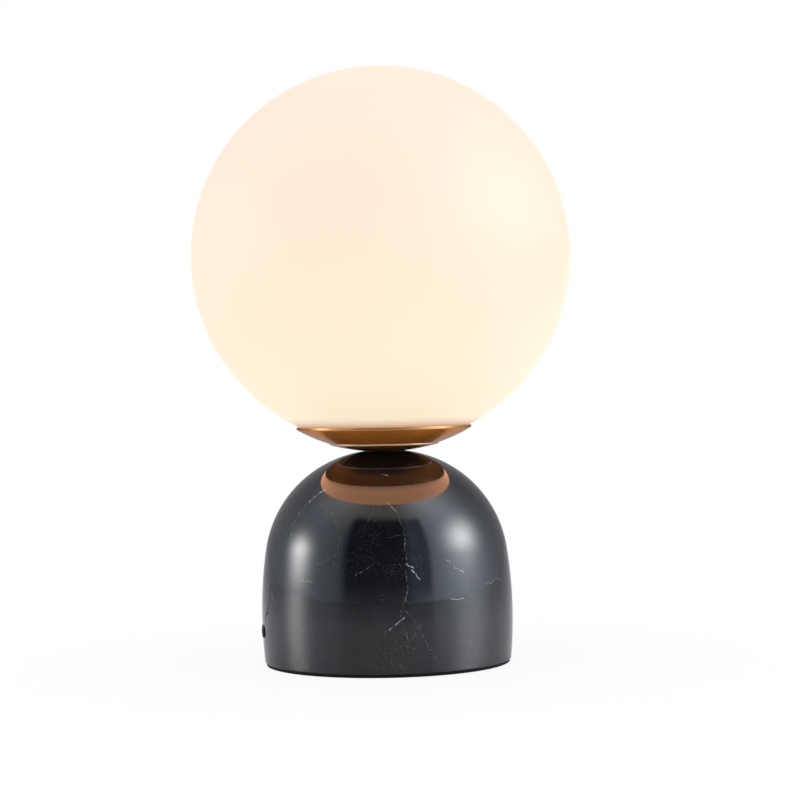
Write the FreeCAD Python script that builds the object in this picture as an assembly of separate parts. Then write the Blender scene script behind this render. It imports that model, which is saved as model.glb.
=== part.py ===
"""Glass globe table lamp.

An opal glass globe sits in a shallow copper-coloured dish on a polished black stone dome.
Millimetres, +Z up, origin on the table under the middle of the lamp, -Y towards the viewer.
The stack is, from the table up: pad, stone, dish foot, dish, lampholder, bulb, globe. One threaded
tube clamps it together. The globe lifts off its spring fingers, and the bulb pulls up out of its socket.
"""

import FreeCAD
import Part

import math
import os

Vector = FreeCAD.Vector
UP = Vector(0, 0, 1)

# ---------------------------------------------------------------- driving sizes

# Stone dome: a crown arc, a shoulder arc tangent to both its neighbours, and a barrelled wall
DOME_DIAMETER = 99.5
DOME_WIDEST_HEIGHT = 19.5
DOME_TOP_HEIGHT = 84.55
DOME_CROWN_RADIUS = 55.0
DOME_CROWN_HALF_ANGLE = 16.6
DOME_WALL_RADIUS = 172.0
DOME_FLAT_DEPTH = 0.8
DOME_EDGE_ROUND = 0.4
BORE_CLEARANCE = 0.25
RECESS_DIAMETER = 62.0
RECESS_HEIGHT = 29.0

# Pad and cover under the stone
PAD_THICKNESS = 1.2
PAD_INSET = 0.1
COVER_THICKNESS = 1.6
COVER_REBATE = 3.0
COVER_CLEARANCE = 0.15

# Cord inlet: its angle is counted from +X, anticlockwise from above
INLET_HEIGHT = 14.2
INLET_ANGLE = 191.0
INLET_BORE_DIAMETER = 4.0
GROMMET_WALL = 0.6
GROMMET_PROUD = 0.4
GROMMET_FLANGE_DIAMETER = 8.0
GROMMET_FLANGE_THICKNESS = 1.2
GROMMET_CLEARANCE = 0.02

# Threaded tube and its fasteners
TUBE_DIAMETER = 10.0
TUBE_BORE_DIAMETER = 8.0
TUBE_BELOW_NUT = 2.0
TUBE_ABOVE_GALLERY_NUT = 9.0
TUBE_HOLE_CLEARANCE = 0.15
BUSH_WALL = 0.55
BUSH_FLANGE_THICKNESS = 1.0
BUSH_FLANGE_OVERHANG = 0.4
BUSH_DEPTH = 5.0
BUSH_CLEARANCE = 0.03
NUT_ACROSS_FLATS = 17.0
NUT_CHAMFER_ANGLE = 30.0
BASE_NUT_HEIGHT = 5.0
GALLERY_NUT_HEIGHT = 3.6
BRACKET_NUT_HEIGHT = 2.4
CLAMP_PLATE_MARGIN = 3.0
CLAMP_PLATE_THICKNESS = 2.0
SPRING_WASHER_DIAMETER = 17.6
SPRING_WASHER_THICKNESS = 2.2
SPRING_WASHER_SLIT = 1.4
SPRING_WASHER_SLIT_ANGLE = 205.0
LOCK_WASHER_DIAMETER = 16.4
LOCK_WASHER_THICKNESS = 0.7
LOCK_WASHER_TEETH = 12
LOCK_WASHER_NOTCH = 1.6

# Dish: a spun bowl on a turned foot
SEAT_WASHER_DIAMETER = 16.6
SEAT_WASHER_THICKNESS = 0.3
FOOT_FLAT_DIAMETER = 17.2
FOOT_DIAMETER = 43.6
FOOT_GROOVE_WIDTH = 0.4
FOOT_GROOVE_HEIGHT = 0.25
BOWL_LAND = 0.3
DISH_DIAMETER = 69.4
DISH_RISE = 8.75
DISH_LIP_HEIGHT = 1.0
DISH_LIP_ROUND = 0.25
DISH_SHEET = 0.8

# Globe and the soft trim on its ground mouth
GLOBE_DIAMETER = 150.0
GLOBE_WALL = 2.5
MOUTH_DIAMETER = 48.0
TRIM_THICKNESS = 0.8
TRIM_OUTER_LIP = 3.5
TRIM_INNER_LIP = 2.5
SEAT_CLEARANCE = 0.2
LIP_CLEARANCE = 0.3

# Spring fingers inside the mouth
CARRIER_INSET = 1.2
CARRIER_THICKNESS = 0.8
FINGER_COUNT = 3
FINGER_FIRST_ANGLE = 30.0
FINGER_WIDTH = 7.0
FINGER_THICKNESS = 0.5
FINGER_CLEARANCE = 0.15
FINGER_BEARING = 0.8
FINGER_SETBACK = 1.9
FINGER_TAB_LENGTH = 8.0
FINGER_BEND = 0.8
FINGER_LEAD_IN = 7.0
RIVET_DIAMETER = 2.6
RIVET_HEAD_DIAMETER = 4.4
RIVET_HEAD_HEIGHT = 0.9
RIVET_CLEARANCE = 0.05

# Bracket and ceramic socket
BRACKET_SHEET = 1.0
BRACKET_WIDTH = 12.6
BRACKET_NUT_GAP = 1.0
BRACKET_ARM_ABOVE_SCREW = 4.0
BRACKET_TUBE_END = 0.6
SOCKET_LENGTH = 19.0
SOCKET_WIDTH = 11.0
SOCKET_CORNER = 4.0
SOCKET_ABOVE_TUBE = 6.0
SOCKET_ARM_CLEARANCE = 0.1
SOCKET_FLOOR = 3.0
SOCKET_SCREW_DIAMETER = 3.0
SOCKET_SCREW_HEAD_DIAMETER = 5.6
SOCKET_SCREW_HEAD_HEIGHT = 2.0
SOCKET_SCREW_ABOVE_FLOOR = 5.0
SOCKET_SCREW_END = 1.0
SOCKET_NUT_ACROSS_FLATS = 5.5
SOCKET_NUT_HEIGHT = 2.4
SCREW_CLEARANCE = 0.1
SCREW_SLOT_WIDTH = 0.8
SCREW_SLOT_DEPTH = 0.6

# Push-in bulb and the contacts that grip its pins
PIN_PITCH = 9.0
PIN_WIRE_DIAMETER = 1.0
PIN_LOOP_WIDTH = 3.2
PIN_LENGTH = 16.0
PIN_CLEARANCE = 0.12
PIN_TIP_CLEARANCE = 0.7
CONTACT_SHEET = 0.4
CONTACT_WIDTH = 3.6
CONTACT_INSET = 0.3
CAVITY_CLEARANCE = 0.3
BULB_SEAT_CLEARANCE = 0.1
BULB_BASE_LENGTH = 14.0
BULB_BASE_WIDTH = 9.0
BULB_BASE_CORNER = 3.0
BULB_BASE_HEIGHT = 5.0
BULB_COLLAR_HEIGHT = 4.5
BULB_DIAMETER = 15.0
BULB_LENGTH = 35.0
BULB_WALL = 1.0
LED_POST_WIDTH = 4.6
LED_POST_TOP_GAP = 3.0
LED_STRIP_WIDTH = 2.2
LED_STRIP_THICKNESS = 0.6
LED_STRIP_LENGTH = 22.0

# Terminal block and leads in the stone's recess
BLOCK_POLES = 2
BLOCK_PITCH = 7.5
BLOCK_LENGTH = 13.0
BLOCK_HEIGHT = 13.0
BLOCK_NECK_WIDTH = 1.6
BLOCK_NECK_LENGTH = 3.0
BLOCK_WIRE_HEIGHT = 4.5
INSERT_WALL = 0.9
INSERT_INSET = 1.0
INSERT_CLEARANCE = 0.03
CLAMP_SCREW_DIAMETER = 2.6
CLAMP_SCREW_SINK = 0.4
FIXING_SCREW_DIAMETER = 2.4
FIXING_SCREW_HEAD_DIAMETER = 4.4
FIXING_SCREW_HEAD_HEIGHT = 1.8
FIXING_SCREW_TIP_GAP = 0.2
LEAD_DIAMETER = 2.0
LEAD_GAP = 0.5
LEAD_CLEARANCE = 0.2
LEAD_INTO_BLOCK = 3.0
LEAD_OUT_OF_BLOCK = 7.5
LEAD_STAGGER = 3.5

# ---------------------------------------------------------------- places worked out from the sizes


def ball_through(low, high):
    """Centre height and radius of the ball, centred on the Z axis, through two (r, z) points."""
    rise = high[1] - low[1]
    centre = (high[0] ** 2 - low[0] ** 2 + high[1] ** 2 - low[1] ** 2) / (2 * rise)
    return centre, math.hypot(low[0], centre - low[1])


def ball_height(radius, centre, r):
    """Height of the lower half of a ball at distance r from the axis."""
    return centre - math.sqrt(radius ** 2 - r ** 2)


TUBE_RADIUS = TUBE_DIAMETER / 2
HOLE_RADIUS = TUBE_RADIUS + TUBE_HOLE_CLEARANCE
RECESS_RADIUS = RECESS_DIAMETER / 2
REBATE_RADIUS = RECESS_RADIUS + COVER_REBATE
LEAD_SPACING = LEAD_DIAMETER + LEAD_GAP

# Below the dish
STONE_BOTTOM = PAD_THICKNESS
COVER_TOP = STONE_BOTTOM + COVER_THICKNESS
RECESS_TOP = STONE_BOTTOM + RECESS_HEIGHT
DOME_FLAT = DOME_TOP_HEIGHT - DOME_FLAT_DEPTH
PLATE_BOTTOM = RECESS_TOP - CLAMP_PLATE_THICKNESS
SPRING_WASHER_BOTTOM = PLATE_BOTTOM - SPRING_WASHER_THICKNESS
BASE_NUT_BOTTOM = SPRING_WASHER_BOTTOM - BASE_NUT_HEIGHT
TUBE_BOTTOM = BASE_NUT_BOTTOM - TUBE_BELOW_NUT

# Dish: the bowl's outside lies on one ball, through the foot's flat and the lip
FOOT_BOTTOM = DOME_FLAT + SEAT_WASHER_THICKNESS
LIP_RADIUS = DISH_DIAMETER / 2
LIP_BOTTOM = FOOT_BOTTOM + DISH_RISE
LIP_TOP = LIP_BOTTOM + DISH_LIP_HEIGHT
LIP_INNER_RADIUS = LIP_RADIUS - DISH_SHEET
FOOT_FLAT_POINT = (FOOT_FLAT_DIAMETER / 2, FOOT_BOTTOM)
BOWL_CENTRE, BOWL_RADIUS = ball_through(FOOT_FLAT_POINT, (LIP_RADIUS, LIP_BOTTOM))
BOWL_INNER_RADIUS = BOWL_RADIUS - DISH_SHEET
BOWL_EDGE_HEIGHT = ball_height(BOWL_RADIUS, BOWL_CENTRE, FOOT_DIAMETER / 2)
BOWL_BOTTOM = BOWL_EDGE_HEIGHT - BOWL_LAND
BOWL_FLOOR = BOWL_BOTTOM + DISH_SHEET
BOWL_FLOOR_RADIUS = math.sqrt(BOWL_INNER_RADIUS ** 2 - (BOWL_CENTRE - BOWL_FLOOR) ** 2)

# Globe: it comes down until its trim is over the bowl or its glass is inside the lip
GLOBE_RADIUS = GLOBE_DIAMETER / 2
GLOBE_INNER_RADIUS = GLOBE_RADIUS - GLOBE_WALL
MOUTH_RADIUS = MOUTH_DIAMETER / 2
TRIM_BORE_RADIUS = MOUTH_RADIUS - TRIM_THICKNESS
TRIM_EDGE_RADIUS = MOUTH_RADIUS + TRIM_OUTER_LIP
TRIM_SEAT = ball_height(BOWL_INNER_RADIUS, BOWL_CENTRE, TRIM_EDGE_RADIUS) + SEAT_CLEARANCE
CENTRE_ON_TRIM = TRIM_SEAT + math.sqrt((GLOBE_RADIUS + TRIM_THICKNESS) ** 2 - TRIM_EDGE_RADIUS ** 2)
CENTRE_IN_LIP = LIP_TOP + math.sqrt(GLOBE_RADIUS ** 2 - (LIP_INNER_RADIUS - LIP_CLEARANCE) ** 2)
GLOBE_CENTRE = max(CENTRE_ON_TRIM, CENTRE_IN_LIP)
MOUTH_BOTTOM = ball_height(GLOBE_RADIUS, GLOBE_CENTRE, MOUTH_RADIUS)
MOUTH_TOP = ball_height(GLOBE_INNER_RADIUS, GLOBE_CENTRE, MOUTH_RADIUS)

# Fingers: the flat strip's corners, not its middle, are what comes nearest to the round mouth
CARRIER_RADIUS = BOWL_FLOOR_RADIUS - CARRIER_INSET
CARRIER_TOP = BOWL_FLOOR + CARRIER_THICKNESS
FINGER_FACE = math.sqrt((TRIM_BORE_RADIUS - FINGER_CLEARANCE) ** 2 - (FINGER_WIDTH / 2) ** 2)
FINGER_BEARING_RADIUS = FINGER_FACE - FINGER_THICKNESS / 2
FINGER_BEARING_HEIGHT = (MOUTH_BOTTOM + MOUTH_TOP) / 2
FINGER_UPRIGHT_RADIUS = FINGER_BEARING_RADIUS - FINGER_SETBACK
RIVET_PLACE = FINGER_UPRIGHT_RADIUS - FINGER_TAB_LENGTH / 2
FINGER_ANGLES = [FINGER_FIRST_ANGLE + 360 * i / FINGER_COUNT for i in range(FINGER_COUNT)]

# Above the dish: the socket is as deep as the bulb's pins need
LOCK_WASHER_TOP = CARRIER_TOP + LOCK_WASHER_THICKNESS
GALLERY_NUT_TOP = LOCK_WASHER_TOP + GALLERY_NUT_HEIGHT
TUBE_TOP = GALLERY_NUT_TOP + TUBE_ABOVE_GALLERY_NUT
BRACKET_NUT_TOP = TUBE_TOP - BRACKET_TUBE_END
BRACKET_FLOOR_TOP = BRACKET_NUT_TOP - BRACKET_NUT_HEIGHT
BRACKET_FLOOR_BOTTOM = BRACKET_FLOOR_TOP - BRACKET_SHEET
SOCKET_BOTTOM = TUBE_TOP + SOCKET_ABOVE_TUBE
CAVITY_BOTTOM = SOCKET_BOTTOM + SOCKET_FLOOR
SOCKET_TOP = CAVITY_BOTTOM + CONTACT_SHEET + PIN_TIP_CLEARANCE + PIN_LENGTH
SOCKET_SCREW_HEIGHT = SOCKET_BOTTOM + SOCKET_SCREW_ABOVE_FLOOR
ARM_INSIDE = SOCKET_WIDTH / 2 + SOCKET_ARM_CLEARANCE
ARM_OUTSIDE = ARM_INSIDE + BRACKET_SHEET
CONTACT_GAP = PIN_WIRE_DIAMETER + 2 * PIN_CLEARANCE
CONTACT_THICKNESS = CONTACT_GAP + 2 * CONTACT_SHEET
BULB_BASE_BOTTOM = SOCKET_TOP + BULB_SEAT_CLEARANCE
COLLAR_BOTTOM = BULB_BASE_BOTTOM + BULB_BASE_HEIGHT
COLLAR_TOP = COLLAR_BOTTOM + BULB_COLLAR_HEIGHT
BULB_TOP = COLLAR_TOP + BULB_LENGTH

# Terminal block: midway between the nut's corners and the recess's wall, wires along X
NUT_CORNER_RADIUS = NUT_ACROSS_FLATS / math.sqrt(3)
BLOCK_WALL_REACH = math.sqrt(RECESS_RADIUS ** 2 - (BLOCK_LENGTH / 2) ** 2)
BLOCK_CENTRE_Y = (NUT_CORNER_RADIUS + BLOCK_WALL_REACH) / 2
BLOCK_BOTTOM = PLATE_BOTTOM - BLOCK_HEIGHT
WIRE_HEIGHT = BLOCK_BOTTOM + BLOCK_WIRE_HEIGHT
POLE_YS = [BLOCK_CENTRE_Y + (i - (BLOCK_POLES - 1) / 2) * BLOCK_PITCH for i in range(BLOCK_POLES)]
INSERT_BORE_RADIUS = LEAD_DIAMETER / 2 + LEAD_CLEARANCE
INSERT_RADIUS = INSERT_BORE_RADIUS + INSERT_WALL

# ---------------------------------------------------------------- ways of making shapes


def rod(radius, start, length, direction=UP):
    """Cylinder from a point, along a direction."""
    return Part.makeCylinder(radius, length, start, direction)


def ring(outer_radius, inner_radius, bottom, height):
    """Flat ring about the Z axis."""
    hole = rod(inner_radius, UP * (bottom - 1), height + 2)
    return rod(outer_radius, UP * bottom, height).cut(hole)


def turned(*steps):
    """Solid turned about Z from a closed outline.

    A step is an (r, z) point reached by a line, or a pair of points: one the arc passes, one it reaches.
    """
    here = Vector(steps[0][0], 0, steps[0][1])
    edges = []
    for step in steps[1:] + (steps[0],):
        is_arc = isinstance(step[0], tuple)
        target = step[1] if is_arc else step
        there = Vector(target[0], 0, target[1])
        if is_arc:
            through = Vector(step[0][0], 0, step[0][1])
            edges.append(Part.Arc(here, through, there).toShape())
        else:
            edges.append(Part.LineSegment(here, there).toShape())
        here = there
    return Part.Face(Part.Wire(edges)).revolve(Vector(0, 0, 0), UP, 360)


def on_circle(centre, radius, angle):
    """(r, z) point of a circle in the outline's plane, at an angle in degrees from +Z towards +r."""
    a = math.radians(angle)
    return (centre[0] + radius * math.sin(a), centre[1] + radius * math.cos(a))


def arc_step(centre, radius, first, last):
    """Outline step along a circle from one angle to another."""
    return (on_circle(centre, radius, (first + last) / 2), on_circle(centre, radius, last))


def low_angle(radius, r):
    """Angle from +Z of the point on a ball's lower half at distance r from the axis."""
    return 180 - math.degrees(math.asin(r / radius))


def hexagon(across_flats, bottom, height):
    """Upright hexagonal prism about Z with flats towards +Y and -Y, its corners chamfered as on a nut."""
    corner = across_flats / math.sqrt(3)
    points = [Vector(*on_circle((0, 0), corner, 90 + 60 * i), bottom) for i in range(6)]
    prism = Part.Face(Part.makePolygon(points + points[:1])).extrude(UP * height)
    flat = across_flats / 2
    drop = (corner - flat) * math.tan(math.radians(NUT_CHAMFER_ANGLE))
    top = bottom + height
    chamfered = turned(
        (0, bottom), (flat, bottom), (corner, bottom + drop), (corner, top - drop), (flat, top), (0, top)
    )
    return prism.common(chamfered)


def rounded_block(length, width, height, corner, bottom):
    """Upright block centred on Z, with round vertical corners no larger than the block allows."""
    block = Part.makeBox(length, width, height, Vector(-length / 2, -width / 2, bottom))
    upright = [e for e in block.Edges if abs(e.tangentAt(e.FirstParameter).z) > 0.9]
    largest = 0.49 * min(length, width)
    return block.makeFillet(min(corner, largest), upright)


def bent_strip(points, thickness, width):
    """Strip bent from sheet: a centreline of (x, z) points, mitred at its bends, width along Y."""
    normals = []
    for a, b in zip(points, points[1:]):
        length = math.hypot(b[0] - a[0], b[1] - a[1])
        normals.append(((a[1] - b[1]) / length, (b[0] - a[0]) / length))
    faces = {1: [], -1: []}
    for i, point in enumerate(points):
        before = normals[max(i - 1, 0)]
        after = normals[min(i, len(normals) - 1)]
        reach = thickness / 2 / (1 + before[0] * after[0] + before[1] * after[1])
        for side, face in faces.items():
            x = point[0] + side * reach * (before[0] + after[0])
            z = point[1] + side * reach * (before[1] + after[1])
            face.append(Vector(x, -width / 2, z))
    loop = faces[1] + faces[-1][::-1]
    return Part.Face(Part.makePolygon(loop + loop[:1])).extrude(Vector(0, width, 0))


def swept_rod(edges, radius):
    """Round rod along a path of tangent lines and arcs."""
    first = edges[0]
    section = Part.Circle(first.valueAt(first.FirstParameter), first.tangentAt(first.FirstParameter), radius)
    return Part.Wire(edges).makePipeShell([Part.Wire(section.toShape())], True, False)


def bent_rod(route, radius):
    """Round rod through a route of points: straight runs, joined by arcs as large as the runs allow."""
    edges = []
    here = route[0]
    for before, corner, after in zip(route, route[1:], route[2:]):
        back = (before - corner).normalize()
        ahead = (after - corner).normalize()
        half_turn = (math.pi - back.getAngle(ahead)) / 2
        reach = 0.45 * min(before.distanceToPoint(corner), corner.distanceToPoint(after))
        bend = reach / math.tan(half_turn)
        inward = (back + ahead).normalize()
        first = corner + back * reach
        middle = corner + inward * (math.hypot(reach, bend) - bend)
        last = corner + ahead * reach
        edges.append(Part.LineSegment(here, first).toShape())
        edges.append(Part.Arc(first, middle, last).toShape())
        here = last
    edges.append(Part.LineSegment(here, route[-1]).toShape())
    return swept_rod(edges, radius)


def spun(shape, angle):
    """Copy of a shape turned about the Z axis."""
    return shape.copy().rotate(Vector(0, 0, 0), UP, angle)


def laid_along(shape, place, direction):
    """Copy of a shape made upright at the origin, moved to a place and laid along a direction."""
    moved = shape.copy()
    moved.Placement = FreeCAD.Placement(place, FreeCAD.Rotation(UP, direction))
    return moved


def along_inlet(shape):
    """Lays a shape along the cord inlet's axis, outwards from the lamp's axis."""
    a = math.radians(INLET_ANGLE)
    return laid_along(shape, UP * INLET_HEIGHT, Vector(math.cos(a), math.sin(a), 0))


# ---------------------------------------------------------------- stone base


def dome_arcs():
    """Crown and wall centres, and the shoulder that is tangent to both: centre, radius and last angle."""
    crown = (0, DOME_TOP_HEIGHT - DOME_CROWN_RADIUS)
    wall = (DOME_DIAMETER / 2 - DOME_WALL_RADIUS, DOME_WIDEST_HEIGHT)
    join = on_circle(crown, DOME_CROWN_RADIUS, DOME_CROWN_HALF_ANGLE)
    normal = on_circle((0, 0), 1, DOME_CROWN_HALF_ANGLE)
    apart = (join[0] - wall[0], join[1] - wall[1])
    along = normal[0] * apart[0] + normal[1] * apart[1]
    lack = apart[0] ** 2 + apart[1] ** 2 - DOME_WALL_RADIUS ** 2
    radius = lack / (2 * (along - DOME_WALL_RADIUS))
    shoulder = (join[0] - radius * normal[0], join[1] - radius * normal[1])
    last = math.degrees(math.atan2(shoulder[0] - wall[0], shoulder[1] - wall[1]))
    return crown, wall, shoulder, radius, last


def wall_radius_at(height):
    """Outer radius of the stone at a height on its barrelled wall."""
    wall = dome_arcs()[1]
    return wall[0] + math.sqrt(DOME_WALL_RADIUS ** 2 - (height - wall[1]) ** 2)


def marble_base():
    """Turned stone dome: bore and flat on top, recess and rebate below, cord bore through its side."""
    crown, wall, shoulder, shoulder_radius, shoulder_end = dome_arcs()
    flat_angle = math.degrees(math.acos((DOME_FLAT - crown[1]) / DOME_CROWN_RADIUS))
    foot_angle = math.degrees(math.acos((STONE_BOTTOM - wall[1]) / DOME_WALL_RADIUS))
    bore = TUBE_RADIUS + BORE_CLEARANCE
    stone = turned(
        (bore, RECESS_TOP),
        (bore, DOME_FLAT),
        on_circle(crown, DOME_CROWN_RADIUS, flat_angle),
        arc_step(crown, DOME_CROWN_RADIUS, flat_angle, DOME_CROWN_HALF_ANGLE),
        arc_step(shoulder, shoulder_radius, DOME_CROWN_HALF_ANGLE, shoulder_end),
        arc_step(wall, DOME_WALL_RADIUS, shoulder_end, foot_angle),
        (REBATE_RADIUS, STONE_BOTTOM),
        (REBATE_RADIUS, COVER_TOP),
        (RECESS_RADIUS, COVER_TOP),
        (RECESS_RADIUS, RECESS_TOP),
    )
    low_rings = [e for e in stone.Edges if e.Closed and e.BoundBox.ZMax < COVER_TOP]
    foot_ring = max(low_rings, key=lambda e: e.BoundBox.XMax)
    stone = stone.makeFillet(DOME_EDGE_ROUND, [foot_ring])
    side_radius = INLET_BORE_DIAMETER / 2 + GROMMET_WALL + GROMMET_CLEARANCE
    return stone.cut(along_inlet(rod(side_radius, UP * (RECESS_RADIUS / 2), DOME_DIAMETER)))


def base_pad():
    """Thin disc glued under the stone and its cover."""
    radius = wall_radius_at(STONE_BOTTOM) - DOME_EDGE_ROUND - PAD_INSET
    return rod(radius, Vector(0, 0, 0), PAD_THICKNESS)


def base_cover():
    """Disc let into the stone's rebate, which closes the recess."""
    return rod(REBATE_RADIUS - COVER_CLEARANCE, UP * STONE_BOTTOM, COVER_THICKNESS)


def cord_grommet():
    """Rubber sleeve through the stone's side, with a flange against the recess's wall."""
    inner = INLET_BORE_DIAMETER / 2
    sleeve = inner + GROMMET_WALL
    flange = GROMMET_FLANGE_DIAMETER / 2
    seat = math.sqrt(RECESS_RADIUS ** 2 - flange ** 2)
    back = seat - GROMMET_FLANGE_THICKNESS
    end = wall_radius_at(INLET_HEIGHT) + GROMMET_PROUD
    outline = ((inner, back), (flange, back), (flange, seat), (sleeve, seat), (sleeve, end), (inner, end))
    return along_inlet(turned(*outline))


# ---------------------------------------------------------------- tube and its fasteners


def threaded_tube():
    """Steel tube that clamps the stack and carries the leads."""
    return ring(TUBE_RADIUS, TUBE_BORE_DIAMETER / 2, TUBE_BOTTOM, TUBE_TOP - TUBE_BOTTOM)


def tube_bushes():
    """Insulating bushes, pressed into both ends of the tube."""
    sleeve = TUBE_BORE_DIAMETER / 2 - BUSH_CLEARANCE
    inner = sleeve - BUSH_WALL
    flange = TUBE_RADIUS + BUSH_FLANGE_OVERHANG
    bushes = []
    for end, inwards in ((TUBE_BOTTOM, 1), (TUBE_TOP, -1)):
        tip = end + inwards * BUSH_DEPTH
        out = end - inwards * BUSH_FLANGE_THICKNESS
        outline = ((inner, out), (flange, out), (flange, end), (sleeve, end), (sleeve, tip), (inner, tip))
        bushes.append(turned(*outline))
    return Part.makeCompound(bushes)


def clamp_plate():
    """Steel disc that spreads the base nut's pull over the recess's ceiling."""
    plate = ring(RECESS_RADIUS - CLAMP_PLATE_MARGIN, HOLE_RADIUS, PLATE_BOTTOM, CLAMP_PLATE_THICKNESS)
    place = Vector(0, BLOCK_CENTRE_Y, PLATE_BOTTOM - 1)
    return plate.cut(rod(FIXING_SCREW_DIAMETER / 2 + SCREW_CLEARANCE, place, CLAMP_PLATE_THICKNESS + 2))


def spring_washer():
    """Split washer between the base nut and the clamp plate."""
    washer = ring(SPRING_WASHER_DIAMETER / 2, HOLE_RADIUS, SPRING_WASHER_BOTTOM, SPRING_WASHER_THICKNESS)
    corner = Vector(0, -SPRING_WASHER_SLIT / 2, SPRING_WASHER_BOTTOM - 1)
    slit = Part.makeBox(SPRING_WASHER_DIAMETER, SPRING_WASHER_SLIT, SPRING_WASHER_THICKNESS + 2, corner)
    return washer.cut(spun(slit, SPRING_WASHER_SLIT_ANGLE))


def tube_nut(bottom, height):
    """Hexagon nut on the tube's thread."""
    return hexagon(NUT_ACROSS_FLATS, bottom, height).cut(rod(TUBE_RADIUS, UP * (bottom - 1), height + 2))


def base_nut():
    """Nut that tightens the whole stack, inside the recess."""
    return tube_nut(BASE_NUT_BOTTOM, BASE_NUT_HEIGHT)


def gallery_nut():
    """Nut that holds the finger carrier, dish and foot down on the stone."""
    return tube_nut(LOCK_WASHER_TOP, GALLERY_NUT_HEIGHT)


def bracket_nuts():
    """Thin nuts under and over the bracket's floor."""
    under = tube_nut(BRACKET_FLOOR_BOTTOM - BRACKET_NUT_HEIGHT, BRACKET_NUT_HEIGHT)
    return Part.makeCompound([under, tube_nut(BRACKET_FLOOR_TOP, BRACKET_NUT_HEIGHT)])


def gallery_lock_washer():
    """Toothed lock washer under the gallery nut."""
    radius = LOCK_WASHER_DIAMETER / 2
    washer = ring(radius, HOLE_RADIUS, CARRIER_TOP, LOCK_WASHER_THICKNESS)
    corner = Vector(radius - LOCK_WASHER_NOTCH, -LOCK_WASHER_NOTCH / 2, CARRIER_TOP - 1)
    notch = Part.makeBox(2 * LOCK_WASHER_NOTCH, LOCK_WASHER_NOTCH, LOCK_WASHER_THICKNESS + 2, corner)
    for i in range(LOCK_WASHER_TEETH):
        washer = washer.cut(spun(notch, 360 * i / LOCK_WASHER_TEETH))
    return washer


# ---------------------------------------------------------------- dish


def seat_washer():
    """Soft washer between the polished stone and the dish's foot."""
    return ring(SEAT_WASHER_DIAMETER / 2, HOLE_RADIUS, DOME_FLAT, SEAT_WASHER_THICKNESS)


def dish_foot():
    """Turned disc under the bowl, with a fine groove where the two meet."""
    edge = FOOT_DIAMETER / 2 - FOOT_GROOVE_WIDTH
    centre, radius = ball_through(FOOT_FLAT_POINT, (edge, BOWL_BOTTOM - FOOT_GROOVE_HEIGHT))
    flat_angle = low_angle(radius, FOOT_FLAT_DIAMETER / 2)
    return turned(
        (HOLE_RADIUS, FOOT_BOTTOM),
        FOOT_FLAT_POINT,
        arc_step((0, centre), radius, flat_angle, low_angle(radius, edge)),
        (edge - FOOT_GROOVE_WIDTH, BOWL_BOTTOM),
        (HOLE_RADIUS, BOWL_BOTTOM),
    )


def gallery_dish():
    """Spun bowl: flat floor, a short upright land over the foot, a ball-shaped wall and an upright lip."""
    ball = (0, BOWL_CENTRE)
    edge = FOOT_DIAMETER / 2
    lip_eye = (LIP_RADIUS - DISH_LIP_ROUND, LIP_TOP - DISH_LIP_ROUND)
    inner_top = low_angle(BOWL_INNER_RADIUS, LIP_INNER_RADIUS)
    inner_low = low_angle(BOWL_INNER_RADIUS, BOWL_FLOOR_RADIUS)
    return turned(
        (HOLE_RADIUS, BOWL_BOTTOM),
        (edge, BOWL_BOTTOM),
        (edge, BOWL_EDGE_HEIGHT),
        arc_step(ball, BOWL_RADIUS, low_angle(BOWL_RADIUS, edge), low_angle(BOWL_RADIUS, LIP_RADIUS)),
        (LIP_RADIUS, lip_eye[1]),
        arc_step(lip_eye, DISH_LIP_ROUND, 90, 0),
        (LIP_INNER_RADIUS, LIP_TOP),
        on_circle(ball, BOWL_INNER_RADIUS, inner_top),
        arc_step(ball, BOWL_INNER_RADIUS, inner_top, inner_low),
        (HOLE_RADIUS, BOWL_FLOOR),
    )


# ---------------------------------------------------------------- spring fingers


def rivet_hole(bottom, height):
    """Hole for the first finger's rivet, before it is spun round to each finger."""
    return rod(RIVET_DIAMETER / 2 + RIVET_CLEARANCE, Vector(RIVET_PLACE, 0, bottom - 1), height + 2)


def clip_carrier():
    """Steel plate on the dish's floor that carries the fingers."""
    plate = ring(CARRIER_RADIUS, HOLE_RADIUS, BOWL_FLOOR, CARRIER_THICKNESS)
    for angle in FINGER_ANGLES:
        plate = plate.cut(spun(rivet_hole(BOWL_FLOOR, CARRIER_THICKNESS), angle))
    return plate


def spring_fingers():
    """Leaf springs riveted to the carrier: a tab, a bearing that holds the mouth, and a lead-in above it."""
    low = CARRIER_TOP + FINGER_THICKNESS / 2
    upright = FINGER_UPRIGHT_RADIUS
    bearing_high = FINGER_BEARING_HEIGHT + FINGER_BEARING / 2
    top = bearing_high + FINGER_LEAD_IN
    line = [
        (upright - FINGER_TAB_LENGTH, low),
        (upright - FINGER_BEND, low),
        (upright, low + FINGER_BEND),
        (FINGER_BEARING_RADIUS, bearing_high - FINGER_BEARING),
        (FINGER_BEARING_RADIUS, bearing_high),
        (upright, top - FINGER_BEND),
        (upright - FINGER_BEND, top),
    ]
    finger = bent_strip(line, FINGER_THICKNESS, FINGER_WIDTH)
    finger = finger.cut(rivet_hole(CARRIER_TOP, FINGER_THICKNESS))
    return Part.makeCompound([spun(finger, angle) for angle in FINGER_ANGLES])


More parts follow.
